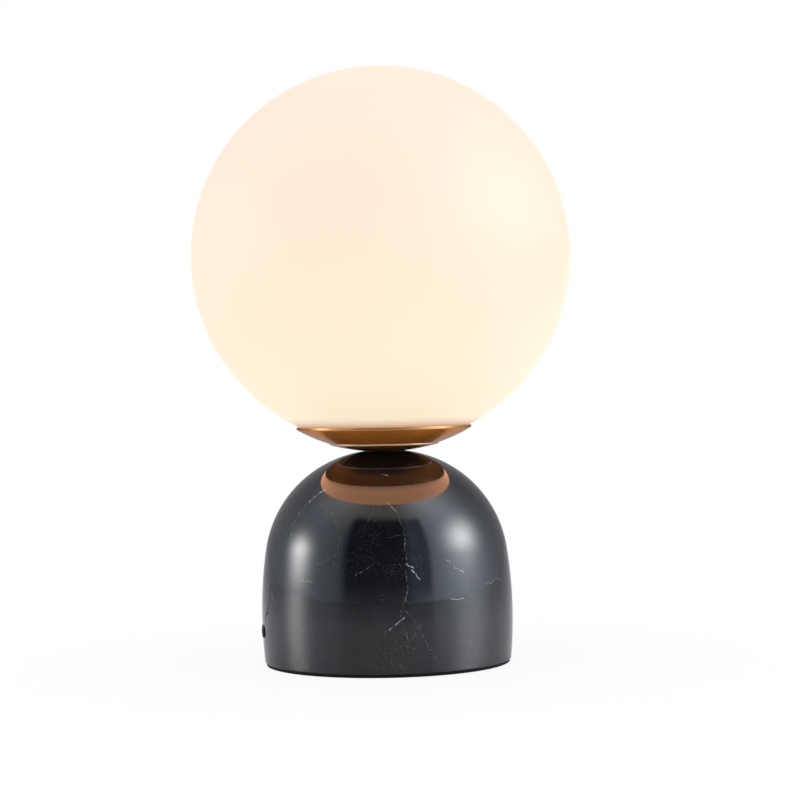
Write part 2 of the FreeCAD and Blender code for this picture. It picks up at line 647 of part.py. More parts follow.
def finger_rivets():
    """One rivet through each finger's tab and the carrier."""
    seat = CARRIER_TOP + FINGER_THICKNESS
    head_radius = RIVET_HEAD_DIAMETER / 2
    depth, radius = ball_through((0, -RIVET_HEAD_HEIGHT), (head_radius, 0))
    rim_angle = 180 - low_angle(radius, head_radius)
    head = turned((0, seat), (head_radius, seat), arc_step((0, seat - depth), radius, rim_angle, 0))
    shank = rod(RIVET_DIAMETER / 2, UP * BOWL_FLOOR, seat - BOWL_FLOOR)
    rivet = shank.fuse(head).removeSplitter()
    rivet.translate(Vector(RIVET_PLACE, 0, 0))
    return Part.makeCompound([spun(rivet, angle) for angle in FINGER_ANGLES])


# ---------------------------------------------------------------- globe


def glass_globe():
    """Blown opal ball, open below at its ground mouth."""
    centre = (0, GLOBE_CENTRE)
    return turned(
        (MOUTH_RADIUS, MOUTH_BOTTOM),
        arc_step(centre, GLOBE_RADIUS, low_angle(GLOBE_RADIUS, MOUTH_RADIUS), 0),
        (0, GLOBE_CENTRE + GLOBE_INNER_RADIUS),
        arc_step(centre, GLOBE_INNER_RADIUS, 0, low_angle(GLOBE_INNER_RADIUS, MOUTH_RADIUS)),
    )


def mouth_trim():
    """Soft channel pressed over the mouth's edge, with a lip under the glass and a shorter one over it."""
    centre = (0, GLOBE_CENTRE)
    under = GLOBE_RADIUS + TRIM_THICKNESS
    over = GLOBE_INNER_RADIUS - TRIM_THICKNESS
    under_start = low_angle(under, TRIM_BORE_RADIUS)
    glass_start = low_angle(GLOBE_RADIUS, TRIM_EDGE_RADIUS)
    inside_start = low_angle(GLOBE_INNER_RADIUS, MOUTH_RADIUS)
    inside_end = low_angle(GLOBE_INNER_RADIUS, MOUTH_RADIUS + TRIM_INNER_LIP)
    over_start = low_angle(over, MOUTH_RADIUS + TRIM_INNER_LIP)
    return turned(
        on_circle(centre, under, under_start),
        arc_step(centre, under, under_start, low_angle(under, TRIM_EDGE_RADIUS)),
        on_circle(centre, GLOBE_RADIUS, glass_start),
        arc_step(centre, GLOBE_RADIUS, glass_start, low_angle(GLOBE_RADIUS, MOUTH_RADIUS)),
        (MOUTH_RADIUS, MOUTH_TOP),
        arc_step(centre, GLOBE_INNER_RADIUS, inside_start, inside_end),
        on_circle(centre, over, over_start),
        arc_step(centre, over, over_start, low_angle(over, TRIM_BORE_RADIUS)),
    )


# ---------------------------------------------------------------- lampholder


def socket_cross_hole():
    """Hole for the socket's screw, right across the bracket and the socket."""
    radius = SOCKET_SCREW_DIAMETER / 2 + SCREW_CLEARANCE
    return rod(radius, Vector(0, -2 * ARM_OUTSIDE, SOCKET_SCREW_HEIGHT), 4 * ARM_OUTSIDE, Vector(0, 1, 0))


def socket_bracket():
    """Bent steel bracket: a floor wide enough for its nuts, and arms drawn in to the socket's sides."""
    arm = ARM_INSIDE + BRACKET_SHEET / 2
    wide = NUT_ACROSS_FLATS / 2 + BRACKET_NUT_GAP + BRACKET_SHEET / 2
    half = [
        (wide, BRACKET_FLOOR_BOTTOM + BRACKET_SHEET / 2),
        (wide, BRACKET_NUT_TOP),
        (arm, SOCKET_BOTTOM),
        (arm, SOCKET_SCREW_HEIGHT + BRACKET_ARM_ABOVE_SCREW),
    ]
    line = [(-x, z) for x, z in reversed(half)] + half
    bracket = spun(bent_strip(line, BRACKET_SHEET, BRACKET_WIDTH), 90)
    tube_hole = rod(HOLE_RADIUS, UP * (BRACKET_FLOOR_BOTTOM - 1), BRACKET_SHEET + 2)
    return bracket.cut(tube_hole).cut(socket_cross_hole())


def socket_body():
    """Ceramic socket: two deep cavities for its contacts, a wire hole under each, and a cross hole."""
    height = SOCKET_TOP - SOCKET_BOTTOM
    body = rounded_block(SOCKET_LENGTH, SOCKET_WIDTH, height, SOCKET_CORNER, SOCKET_BOTTOM)
    length = CONTACT_THICKNESS + 2 * CAVITY_CLEARANCE
    width = max(CONTACT_WIDTH, PIN_LOOP_WIDTH + PIN_WIRE_DIAMETER) + 2 * CAVITY_CLEARANCE
    for x in (-PIN_PITCH / 2, PIN_PITCH / 2):
        cavity = Part.makeBox(length, width, height, Vector(x - length / 2, -width / 2, CAVITY_BOTTOM))
        below = Vector(x, 0, SOCKET_BOTTOM - 1)
        wire_hole = rod(LEAD_DIAMETER / 2 + LEAD_CLEARANCE, below, SOCKET_FLOOR + 2)
        body = body.cut(cavity).cut(wire_hole)
    return body.cut(socket_cross_hole())


def socket_contacts():
    """Two folded spring contacts: a pin slides down between the leaves of each."""
    height = SOCKET_TOP - CONTACT_INSET - CAVITY_BOTTOM
    contacts = []
    for x in (-PIN_PITCH / 2, PIN_PITCH / 2):
        corner = Vector(x - CONTACT_THICKNESS / 2, -CONTACT_WIDTH / 2, CAVITY_BOTTOM)
        gap_corner = Vector(x - CONTACT_GAP / 2, -CONTACT_WIDTH, CAVITY_BOTTOM + CONTACT_SHEET)
        folded = Part.makeBox(CONTACT_THICKNESS, CONTACT_WIDTH, height, corner)
        contacts.append(folded.cut(Part.makeBox(CONTACT_GAP, 2 * CONTACT_WIDTH, height, gap_corner)))
    return Part.makeCompound(contacts)


def slotted_screw(diameter, length, head_diameter, head_height):
    """Screw with the underside of its head at the origin, its shank up +Z and its slot along X."""
    head = rod(head_diameter / 2, UP * -head_height, head_height)
    rim = [e for e in head.Edges if e.Closed and e.BoundBox.ZMax < -head_height / 2]
    head = head.makeFillet(0.4 * head_height, rim)
    corner = Vector(-head_diameter, -SCREW_SLOT_WIDTH / 2, -head_height - 1)
    slot = Part.makeBox(2 * head_diameter, SCREW_SLOT_WIDTH, SCREW_SLOT_DEPTH + 1, corner)
    return head.fuse(rod(diameter / 2, Vector(0, 0, 0), length)).removeSplitter().cut(slot)


def socket_screw():
    """Screw across both arms and the socket."""
    length = 2 * ARM_OUTSIDE + SOCKET_NUT_HEIGHT + SOCKET_SCREW_END
    screw = slotted_screw(
        SOCKET_SCREW_DIAMETER, length, SOCKET_SCREW_HEAD_DIAMETER, SOCKET_SCREW_HEAD_HEIGHT
    )
    return laid_along(screw, Vector(0, -ARM_OUTSIDE, SOCKET_SCREW_HEIGHT), Vector(0, 1, 0))


def socket_screw_nut():
    """Nut on the far arm."""
    bore = rod(SOCKET_SCREW_DIAMETER / 2, UP * -1, SOCKET_NUT_HEIGHT + 2)
    small_nut = hexagon(SOCKET_NUT_ACROSS_FLATS, 0, SOCKET_NUT_HEIGHT).cut(bore)
    return laid_along(small_nut, Vector(0, ARM_OUTSIDE, SOCKET_SCREW_HEIGHT), Vector(0, 1, 0))


# ---------------------------------------------------------------- bulb


def bulb_base():
    """Ceramic foot of the bulb: a block that stands on the socket, under a round collar."""
    block = rounded_block(
        BULB_BASE_LENGTH, BULB_BASE_WIDTH, BULB_BASE_HEIGHT, BULB_BASE_CORNER, BULB_BASE_BOTTOM
    )
    return block.fuse(rod(BULB_DIAMETER / 2, UP * COLLAR_BOTTOM, BULB_COLLAR_HEIGHT)).removeSplitter()


def bulb_envelope():
    """Hollow capsule with a domed top and a closed foot."""
    outer = BULB_DIAMETER / 2
    inner = outer - BULB_WALL
    eye = (0, BULB_TOP - outer)
    floor = COLLAR_TOP + BULB_WALL
    shell = turned((0, COLLAR_TOP), (outer, COLLAR_TOP), (outer, eye[1]), arc_step(eye, outer, 90, 0))
    return shell.cut(turned((0, floor), (inner, floor), (inner, eye[1]), arc_step(eye, inner, 90, 0)))


def bulb_pins():
    """Two wire loops under the bulb's base."""
    half = PIN_LOOP_WIDTH / 2
    tip = BULB_BASE_BOTTOM - PIN_LENGTH + PIN_WIRE_DIAMETER / 2
    pins = []
    for x in (-PIN_PITCH / 2, PIN_PITCH / 2):
        down = Part.LineSegment(Vector(x, -half, BULB_BASE_BOTTOM), Vector(x, -half, tip + half))
        turn = Part.Arc(Vector(x, -half, tip + half), Vector(x, 0, tip), Vector(x, half, tip + half))
        up = Part.LineSegment(Vector(x, half, tip + half), Vector(x, half, BULB_BASE_BOTTOM))
        pins.append(swept_rod([down.toShape(), turn.toShape(), up.toShape()], PIN_WIRE_DIAMETER / 2))
    return Part.makeCompound(pins)


def led_post():
    """Square post inside the capsule that carries the light strips."""
    low = COLLAR_TOP + BULB_WALL
    height = BULB_TOP - BULB_WALL - LED_POST_TOP_GAP - low
    corner = Vector(-LED_POST_WIDTH / 2, -LED_POST_WIDTH / 2, low)
    return Part.makeBox(LED_POST_WIDTH, LED_POST_WIDTH, height, corner)


def led_strips():
    """One light strip on each face of the post."""
    middle = (COLLAR_TOP + BULB_TOP - LED_POST_TOP_GAP) / 2
    corner = Vector(LED_POST_WIDTH / 2, -LED_STRIP_WIDTH / 2, middle - LED_STRIP_LENGTH / 2)
    strip = Part.makeBox(LED_STRIP_THICKNESS, LED_STRIP_WIDTH, LED_STRIP_LENGTH, corner)
    return Part.makeCompound([spun(strip, angle) for angle in (0, 90, 180, 270)])


# ---------------------------------------------------------------- terminal block and leads


def terminal_block():
    """Moulded block under the clamp plate, notched between its poles at both ends, with one fixing hole."""
    width = BLOCK_POLES * BLOCK_PITCH
    corner = Vector(-BLOCK_LENGTH / 2, BLOCK_CENTRE_Y - width / 2, BLOCK_BOTTOM)
    block = Part.makeBox(BLOCK_LENGTH, width, BLOCK_HEIGHT, corner)
    for y, next_y in zip(POLE_YS, POLE_YS[1:]):
        neck_y = (y + next_y - BLOCK_NECK_WIDTH) / 2
        for x in (-BLOCK_LENGTH / 2, BLOCK_LENGTH / 2 - BLOCK_NECK_LENGTH):
            neck_corner = Vector(x, neck_y, BLOCK_BOTTOM - 1)
            notch = Part.makeBox(BLOCK_NECK_LENGTH, BLOCK_NECK_WIDTH, BLOCK_HEIGHT + 2, neck_corner)
            block = block.cut(notch)
    for y in POLE_YS:
        start = Vector(-BLOCK_LENGTH, y, WIRE_HEIGHT)
        barrel_hole = rod(INSERT_RADIUS + INSERT_CLEARANCE, start, 2 * BLOCK_LENGTH, Vector(1, 0, 0))
        below = Vector(0, y, BLOCK_BOTTOM - 1)
        screw_hole = rod(CLAMP_SCREW_DIAMETER / 2 + SCREW_CLEARANCE, below, BLOCK_WIRE_HEIGHT + 1)
        block = block.cut(barrel_hole).cut(screw_hole)
    place = Vector(0, BLOCK_CENTRE_Y, BLOCK_BOTTOM - 1)
    fixing_hole = rod(FIXING_SCREW_DIAMETER / 2 + SCREW_CLEARANCE, place, BLOCK_HEIGHT + 2)
    return block.cut(fixing_hole)


def terminal_inserts():
    """Brass barrels inside the block's poles, each with a hole for its clamp screw."""
    length = BLOCK_LENGTH - 2 * INSERT_INSET
    bore = rod(INSERT_BORE_RADIUS, UP * -length, 2 * length)
    barrel = rod(INSERT_RADIUS, UP * (-length / 2), length).cut(bore)
    inserts = []
    for y in POLE_YS:
        screw = rod(CLAMP_SCREW_DIAMETER / 2, Vector(0, y, BLOCK_BOTTOM), BLOCK_WIRE_HEIGHT)
        inserts.append(laid_along(barrel, Vector(0, y, WIRE_HEIGHT), Vector(1, 0, 0)).cut(screw))
    return Part.makeCompound(inserts)


def terminal_screws():
    """Headless clamp screws, one up into each barrel."""
    low = BLOCK_BOTTOM + CLAMP_SCREW_SINK
    corner = Vector(-CLAMP_SCREW_DIAMETER, -SCREW_SLOT_WIDTH / 2, low - 1)
    slot = Part.makeBox(2 * CLAMP_SCREW_DIAMETER, SCREW_SLOT_WIDTH, SCREW_SLOT_DEPTH + 1, corner)
    screw = rod(CLAMP_SCREW_DIAMETER / 2, UP * low, WIRE_HEIGHT - LEAD_DIAMETER / 2 - low).cut(slot)
    return Part.makeCompound([laid_along(screw, Vector(0, y, 0), UP) for y in POLE_YS])


def terminal_fixing_screw():
    """Screw that holds the block up against the clamp plate, its head under the block."""
    length = RECESS_TOP - FIXING_SCREW_TIP_GAP - BLOCK_BOTTOM
    screw = slotted_screw(
        FIXING_SCREW_DIAMETER, length, FIXING_SCREW_HEAD_DIAMETER, FIXING_SCREW_HEAD_HEIGHT
    )
    return laid_along(screw, Vector(0, BLOCK_CENTRE_Y, BLOCK_BOTTOM), UP)


def lead(pole_y, tube_y, socket_x, stagger):
    """Insulated lead: out of the block, in a loop under the tube, up through it and to its contact."""
    face = BLOCK_LENGTH / 2
    out = face + LEAD_OUT_OF_BLOCK + stagger
    bush_end = TUBE_BOTTOM - BUSH_FLANGE_THICKNESS
    loop = (COVER_TOP + bush_end) / 2
    route = [
        Vector(face - LEAD_INTO_BLOCK, pole_y, WIRE_HEIGHT),
        Vector(out - LEAD_DIAMETER, pole_y, WIRE_HEIGHT),
        Vector(out, pole_y / 2, (WIRE_HEIGHT + loop) / 2),
        Vector(out / 2, tube_y - stagger / 2, loop - LEAD_DIAMETER),
        Vector(0, tube_y, loop - LEAD_DIAMETER),
        Vector(0, tube_y, TUBE_TOP + BUSH_FLANGE_THICKNESS),
        Vector(socket_x, 0, SOCKET_BOTTOM - LEAD_DIAMETER / 2),
        Vector(socket_x, 0, CAVITY_BOTTOM),
    ]
    return bent_rod(route, LEAD_DIAMETER / 2)


def lead_live():
    """Lead from the block's inner pole to the socket's +X contact."""
    return lead(POLE_YS[0], LEAD_SPACING / 2, PIN_PITCH / 2, 0)


def lead_neutral():
    """Lead from the block's outer pole to the socket's -X contact."""
    return lead(POLE_YS[-1], -LEAD_SPACING / 2, -PIN_PITCH / 2, LEAD_STAGGER)


# ---------------------------------------------------------------- one file for each sub-part

SUB_PARTS = [
    marble_base, base_pad, base_cover, cord_grommet,
    threaded_tube, tube_bushes, clamp_plate, spring_washer, base_nut,
    seat_washer, dish_foot, gallery_dish, gallery_lock_washer, gallery_nut,
    clip_carrier, spring_fingers, finger_rivets,
    glass_globe, mouth_trim,
    socket_bracket, bracket_nuts, socket_body, socket_contacts, socket_screw, socket_screw_nut,
    bulb_base, bulb_envelope, bulb_pins, led_post, led_strips,
    terminal_block, terminal_inserts, terminal_screws, terminal_fixing_screw, lead_live, lead_neutral,
]

os.makedirs("parts", exist_ok=True)
for make in SUB_PARTS:
    shape = make()
    if not shape.isValid() or not shape.Solids:
        raise ValueError(make.__name__ + " is not a valid solid")
    shape.exportStep("parts/" + make.__name__ + ".step")
    print(make.__name__, len(shape.Solids), "solids,", round(shape.Volume, 1), "mm3")
print("globe centre", round(GLOBE_CENTRE, 3), "height", round(GLOBE_CENTRE + GLOBE_RADIUS, 3))
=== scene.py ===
"""Glass globe table lamp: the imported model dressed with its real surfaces, on a white table."""

import math

import bmesh
import bpy
import numpy as np
from mathutils import Matrix, Vector


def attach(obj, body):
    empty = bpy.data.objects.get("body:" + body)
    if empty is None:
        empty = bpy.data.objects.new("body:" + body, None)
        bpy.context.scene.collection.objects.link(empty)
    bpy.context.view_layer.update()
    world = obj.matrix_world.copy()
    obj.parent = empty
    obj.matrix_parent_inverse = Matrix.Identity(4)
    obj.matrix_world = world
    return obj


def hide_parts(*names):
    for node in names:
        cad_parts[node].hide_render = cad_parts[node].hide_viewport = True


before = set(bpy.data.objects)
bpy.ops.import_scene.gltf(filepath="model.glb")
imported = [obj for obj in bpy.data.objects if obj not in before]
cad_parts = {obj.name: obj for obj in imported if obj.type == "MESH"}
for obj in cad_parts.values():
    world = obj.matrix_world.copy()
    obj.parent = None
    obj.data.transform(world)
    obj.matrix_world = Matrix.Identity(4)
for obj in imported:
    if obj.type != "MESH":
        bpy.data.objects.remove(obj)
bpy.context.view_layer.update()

# ---------------------------------------------------------------- stone base
# A dome turned from black marble and polished, with fine white veins. It is bored for the tube,
# hollowed from below, and drilled through its side for the cord's sleeve.


def arc(centre, radius, first, last, count):
    """Points (r, z) of a circle, evenly spaced between two angles in degrees from +Z towards +r."""
    a = np.radians(np.linspace(first, last, count))
    return np.column_stack((centre[0] + radius * np.sin(a), centre[1] + radius * np.cos(a)))


def sides(*corners):
    """Straight runs from each corner (r, z) to the next."""
    return list(zip(corners, corners[1:]))


def eased(runs, ease, closed=True):
    """Outline from runs of (r, z) points. Both runs at a corner stop short of it by the ease, measured
    along them, and a quadratic curve with the corner as its middle point joins their ends."""
    trimmed = []
    for i, run in enumerate(runs):
        run = np.asarray(run, float)
        length = np.concatenate(([0.0], np.cumsum(np.hypot(*np.diff(run, axis=0).T))))
        cut = min(ease, 0.4 * length[-1])
        start = cut if closed or i > 0 else 0.0
        end = length[-1] - (cut if closed or i < len(runs) - 1 else 0.0)
        stops = np.concatenate(([start], length[(length > start) & (length < end)], [end]))
        trimmed.append(np.column_stack([np.interp(stops, length, run[:, k]) for k in (0, 1)]))
    t = np.linspace(0.2, 0.8, 4)[:, None]
    pieces = []
    for i, run in enumerate(trimmed):
        pieces.append(run)
        if closed or i < len(trimmed) - 1:
            corner, after = np.asarray(runs[i], float)[-1], trimmed[(i + 1) % len(trimmed)][0]
            pieces.append((1 - t) ** 2 * run[-1] + 2 * t * (1 - t) * corner + t ** 2 * after)
    return np.concatenate(pieces)


def loops(rings):
    """Closed rings of points, joined one to the next: vertices and their quads."""
    rows, count = rings.shape[:2]
    i, j = np.meshgrid(np.arange(rows - 1), np.arange(count), indexing="ij")
    j_next = (j + 1) % count
    corners = (i * count + j, i * count + j_next, (i + 1) * count + j_next, (i + 1) * count + j)
    return rings.reshape(-1, 3), np.stack(corners, -1).reshape(-1, 4)


def turned(outline, turns, closed=True, start=0.0):
    """Outline (r, z) carried round Z: x is r cos a and y is r sin a. A closed one returns to its start."""
    a = start + np.linspace(0, 2 * np.pi, turns, endpoint=False)
    r, z = (np.concatenate((outline, outline[:1])) if closed else outline).T
    return loops(np.stack((np.outer(r, np.cos(a)), np.outer(r, np.sin(a)), np.outer(z, np.ones(turns))), -1))


def made(name, blocks, sharp=40):
    """One object from blocks of vertices, in millimetres, and quads. Seams and poles are merged, and
    the faces are turned outwards."""
    starts = np.cumsum([0] + [len(points) for points, _ in blocks[:-1]])
    points = np.concatenate([points for points, _ in blocks]) * 0.001
    quads = np.concatenate([faces + start for (_, faces), start in zip(blocks, starts)])
    mesh = bpy.data.meshes.new(name)
    mesh.from_pydata(points.tolist(), [], quads.tolist())
    work = bmesh.new()
    work.from_mesh(mesh)
    bmesh.ops.remove_doubles(work, verts=work.verts, dist=2e-6)
    bmesh.ops.recalc_face_normals(work, faces=work.faces)
    work.to_mesh(mesh)
    work.free()
    mesh.shade_smooth()
    mesh.set_sharp_from_angle(angle=math.radians(sharp))
    piece = bpy.data.objects.new(name, mesh)
    bpy.context.collection.objects.link(piece)
    return piece


STONE_BOTTOM, STONE_TOP, BORE_RADIUS = 1.2, 83.75, 5.25
RECESS_RADIUS, RECESS_TOP = 31.0, 30.2
REBATE_RADIUS, REBATE_TOP = 34.0, 2.8
CROWN, CROWN_RADIUS, CROWN_START, CROWN_END = (0.0, 29.55), 55.0, 9.785, 16.6
SHOULDER, SHOULDER_RADIUS, SHOULDER_END = (2.6757, 38.526), 45.6336, 81.35
WALL, WALL_RADIUS = (-122.25, 19.5), 172.0
INLET_ANGLE, INLET_HEIGHT, INLET_RADIUS = math.radians(191), 14.2, 2.62
DOME_TURNS, WINDOW = 240, 8
OUTER_WINDOW, INNER_WINDOW = (9.0, 19.4), (10.96, 17.44)


def wall_radius(z):
    """Radius of the stone's barrelled wall at a height."""
    return WALL[0] + np.sqrt(WALL_RADIUS ** 2 - (z - WALL[1]) ** 2)


def drilled(radius_at, rows, columns):
    """Patch of a round wall between a window in its grid and the cord's hole.

    A point's sideways and upward distances from the hole's axis go evenly from the hole's circle to
    the window's edge. Its angle round the stone follows from the sideways distance.
    """
    edge = np.concatenate([
        np.column_stack((columns[:-1], np.full(WINDOW, rows[0]))),
        np.column_stack((np.full(WINDOW, columns[-1]), rows[:-1])),
        np.column_stack((columns[:0:-1], np.full(WINDOW, rows[-1]))),
        np.column_stack((np.full(WINDOW, columns[0]), rows[:0:-1])),
    ])
    angle, height = edge.T
    window = np.column_stack((radius_at(height) * np.sin(angle - INLET_ANGLE), height - INLET_HEIGHT))
    turn = np.radians(225 + 360 * np.arange(len(edge)) / len(edge))
    hole = INLET_RADIUS * np.column_stack((np.cos(turn), np.sin(turn)))
    share = np.linspace(0, 1, 6)[:, None, None]
    across, up = np.moveaxis((1 - share) * hole + share * window, -1, 0)
    r = radius_at(INLET_HEIGHT + up)
    a = INLET_ANGLE + np.arcsin(across / r)
    return np.stack((r * np.cos(a), r * np.sin(a), INLET_HEIGHT + up), -1)


outer_rows = np.linspace(*OUTER_WINDOW, WINDOW + 1)
inner_rows = np.linspace(*INNER_WINDOW, WINDOW + 1)
wall_top = SHOULDER[1] + SHOULDER_RADIUS * math.cos(math.radians(SHOULDER_END))
wall_heights = np.concatenate((
    np.linspace(wall_top, outer_rows[-1], 16)[1:-1],
    outer_rows[::-1],
    np.linspace(outer_rows[0], STONE_BOTTOM, 9)[1:],
))
dome_run = np.concatenate((
    arc(CROWN, CROWN_RADIUS, CROWN_START, CROWN_END, 8)[:-1],
    arc(SHOULDER, SHOULDER_RADIUS, CROWN_END, SHOULDER_END, 48),
    np.column_stack((wall_radius(wall_heights), wall_heights)),
))
recess_heights = np.concatenate(([REBATE_TOP, 6.0], inner_rows, [21.0, 26.0, RECESS_TOP]))
stone_outline = eased([
    *sides((BORE_RADIUS, RECESS_TOP), (BORE_RADIUS, STONE_TOP), dome_run[0]),
    dome_run,
    *sides(dome_run[-1], (REBATE_RADIUS, STONE_BOTTOM), (REBATE_RADIUS, REBATE_TOP),
           (RECESS_RADIUS, REBATE_TOP)),
    np.column_stack((np.full(len(recess_heights), RECESS_RADIUS), recess_heights)),
    *sides((RECESS_RADIUS, RECESS_TOP), (BORE_RADIUS, RECESS_TOP)),
], 0.4)
half_window = math.radians(360 / DOME_TURNS * WINDOW / 2)
stone_points, stone_quads = turned(stone_outline, DOME_TURNS, start=INLET_ANGLE - half_window)
window_columns = INLET_ANGLE + np.linspace(-half_window, half_window, WINDOW + 1)
quad_row, quad_column = np.divmod(np.arange(len(stone_quads)), DOME_TURNS)
quad_radius = stone_outline[quad_row, 0]
quad_height = (stone_outline[quad_row, 1] + stone_outline[(quad_row + 1) % len(stone_outline), 1]) / 2
in_outer = (quad_radius > 40) & (quad_height > outer_rows[0]) & (quad_height < outer_rows[-1])
in_recess = abs(quad_radius - RECESS_RADIUS) < 1
in_inner = in_recess & (quad_height > inner_rows[0]) & (quad_height < inner_rows[-1])
kept = ~((in_outer | in_inner) & (quad_column < WINDOW))
outer_patch = drilled(wall_radius, outer_rows, window_columns)
inner_patch = drilled(lambda z: np.full_like(z, RECESS_RADIUS), inner_rows, window_columns)
stone = made("stone_dome", [
    (stone_points, stone_quads[kept]),
    loops(outer_patch),
    loops(inner_patch),
    loops(np.stack((outer_patch[0], inner_patch[0]))),
])


def node(tree, kind, out=0, inputs=(), **settings):
    """Adds a node and gives one of its outputs. An input is a value, or another node's output."""
    new = tree.nodes.new("ShaderNode" + kind)
    for setting, value in settings.items():
        setattr(new, setting, value)
    for socket, value in dict(inputs).items():
        if isinstance(value, bpy.types.NodeSocket):
            tree.links.new(value, new.inputs[socket])
        else:
            new.inputs[socket].default_value = value
    return new.outputs[out]


def ramp(tree, value, low, high, out_low=0.0, out_high=1.0):
    """Smooth step of a value from low to high."""
    return node(tree, "MapRange", inputs={0: value, 1: low, 2: high, 3: out_low, 4: out_high},
                interpolation_type="SMOOTHSTEP")


def sums(tree, operation, a, b):
    """One sum on two numbers or outputs."""
    return node(tree, "Math", inputs={0: a, 1: b}, operation=operation)


def vectors(tree, operation, *values, out=0, **named):
    """One sum on vectors or outputs."""
    return node(tree, "VectorMath", out=out, inputs={**dict(enumerate(values)), **named}, operation=operation)


def parted(tree, vector):
    """The three components of a vector."""
    new = tree.nodes.new("ShaderNodeSeparateXYZ")
    tree.links.new(vector, new.inputs[0])
    return new.outputs


def noise(tree, place, scale, detail, out=0, **inputs):
    """Smooth noise about one half, by its waves a metre and how many finer layers it has."""
    inputs = {"Vector": place, "Scale": scale, "Detail": detail, **inputs}
    return node(tree, "TexNoise", out=out, inputs=inputs)


def mixed(tree, share, first, second, **settings):
    """Colour from the first to the second by a share. A colour is an output or three numbers."""
    first, second = (one if isinstance(one, bpy.types.NodeSocket) else (*one, 1) for one in (first, second))
    return node(tree, "Mix", out=2, data_type="RGBA", inputs={0: share, 6: first, 7: second}, **settings)


def bumpy(tree, height, strength, depth):
    """Normals that follow a height from 0 to 1, over a depth in metres."""
    return node(tree, "Bump", inputs={"Height": height, "Strength": strength, "Distance": depth})


def material(name, **sockets):
    """Material with one shader, whose sockets are set by name, with _ for a space. Gives the material,
    its tree, its shader and the Object coordinates."""
    new = bpy.data.materials.new(name)
    new.use_nodes = True
    shader = new.node_tree.nodes["Principled BSDF"]
    for socket, value in sockets.items():
        shader.inputs[socket.replace("_", " ")].default_value = value
    return new, new.node_tree, shader, node(new.node_tree, "TexCoord", out="Object")


def wired(tree, shader, **outputs):
    """Links outputs to a shader's sockets, named with _ for a space."""
    for socket, output in outputs.items():
        tree.links.new(output, shader.inputs[socket.replace("_", " ")])


def finished(piece, finish, body, node_name):
    """Gives a piece its material and the body it rides on, and hides the CAD node it stands for."""
    piece.data.materials.append(finish)
    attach(piece, body)
    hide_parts(node_name)


# Each vein is its strength, its half width, and its points: millimetres round the stone from the
# front, and height. The crack is the same, but dark.
VEINS = [
    (0.80, 0.18, [(-31.5, 71.0), (-35, 69.6), (-38.6, 67.4), (-40.8, 65.2)]),
    (0.35, 0.13, [(-40.8, 65.2), (-43.2, 61.6), (-44.6, 57.6), (-44.6, 53.4), (-43.3, 49.6)]),
    (0.55, 0.15, [(-0.4, 66.4), (2.2, 64.5), (4.6, 61.5)]),
    (0.22, 0.11, [(4.6, 61.5), (6.6, 56.5), (7.9, 50.4), (7.9, 44)]),
    (0.20, 0.10, [(7.9, 44), (7.5, 37), (6.9, 29.2), (5.2, 22.5), (6.1, 16), (6.9, 10)]),
    (0.85, 0.20, [(7.5, 42.8), (8.4, 41.6), (10.6, 40.4)]),
    (0.70, 0.17, [(9.6, 39.9), (11.4, 37.9), (13.4, 36.6)]),
    (0.75, 0.14, [(-0.9, 17.3), (1.2, 19), (3.9, 20.4), (9.1, 23.4)]),
    (0.20, 0.10, [(6.3, 26.9), (9.4, 22), (12, 17.2), (14.6, 12.4), (17.8, 7.4)]),
    (0.55, 0.13, [(22.6, 43.7), (25.5, 42.6), (28.2, 40.6), (30.6, 38)]),
    (0.30, 0.12, [(31.8, 36.4), (32, 33.5), (30.8, 30.6)]),
    (0.75, 0.15, [(30, 28.8), (27.6, 28.4), (25.2, 28.8)]),
    (0.45, 0.13, [(42.6, 32.4), (46, 33.9), (50.2, 34.7), (54.5, 33.4)]),
    (0.60, 0.16, [(-34, 37.6), (-32.4, 36), (-30.1, 35)]),
    (1.00, 0.26, [(-2.6, 76.4), (0, 75.8), (2.8, 74.7)]),
    (0.16, 0.10, [
        (-31.5, 66), (-25, 62.5), (-20.5, 58), (-18.6, 52), (-19.2, 47.2), (-23, 44.4), (-27.5, 42.3)]),
    (0.22, 0.10, [(-12, 38.5), (-8, 40.2), (-4.5, 43.6)]),
]
CRACK = (1.0, 0.62, [
    (-62.2, 18.4), (-59.5, 21.5), (-57.6, 25), (-56.4, 29), (-54.8, 32.6), (-52.6, 32), (-50.4, 29)])
MEAN_RADIUS = 48.0

marble, tree, shader, place = material("black_marble", IOR=1.5)
x, y, z = parted(tree, place)
angle = sums(tree, "ARCTAN2", x, sums(tree, "MULTIPLY", y, -1.0))
on_wall = node(tree, "CombineXYZ", inputs={
    0: sums(tree, "MULTIPLY", angle, MEAN_RADIUS), 1: sums(tree, "MULTIPLY", z, 1000.0)})
slow, quick = (
    vectors(tree, "SUBTRACT", noise(tree, place, scale, detail, out="Color"), (0.5, 0.5, 0.5))
    for scale, detail in ((130.0, 1.0), (900.0, 2.0)))
for sway, reach in ((slow, 4.5), (quick, 1.3)):
    on_wall = vectors(tree, "MULTIPLY_ADD", sway, (reach, reach, 0.0), on_wall)


def vein(strength, width, points):
    """Soft line through the points: for each straight run, the nearest point on it is found by the dot
    product along it, held between its ends, and the smallest distance of all the runs fades out."""
    nearest = 1000.0
    for start, end in zip(points, points[1:]):
        along = Vector((end[0] - start[0], end[1] - start[1], 0))
        offset = vectors(tree, "SUBTRACT", on_wall, (*start, 0))
        share = vectors(tree, "DOT_PRODUCT", offset, along / along.length_squared, out="Value")
        foot = vectors(tree, "SCALE", along, Scale=node(tree, "Clamp", inputs={0: share}))
        nearest = sums(tree, "MINIMUM", nearest, vectors(tree, "DISTANCE", offset, foot, out="Value"))
    return ramp(tree, nearest, width, 0.25 * width, 0.0, strength)


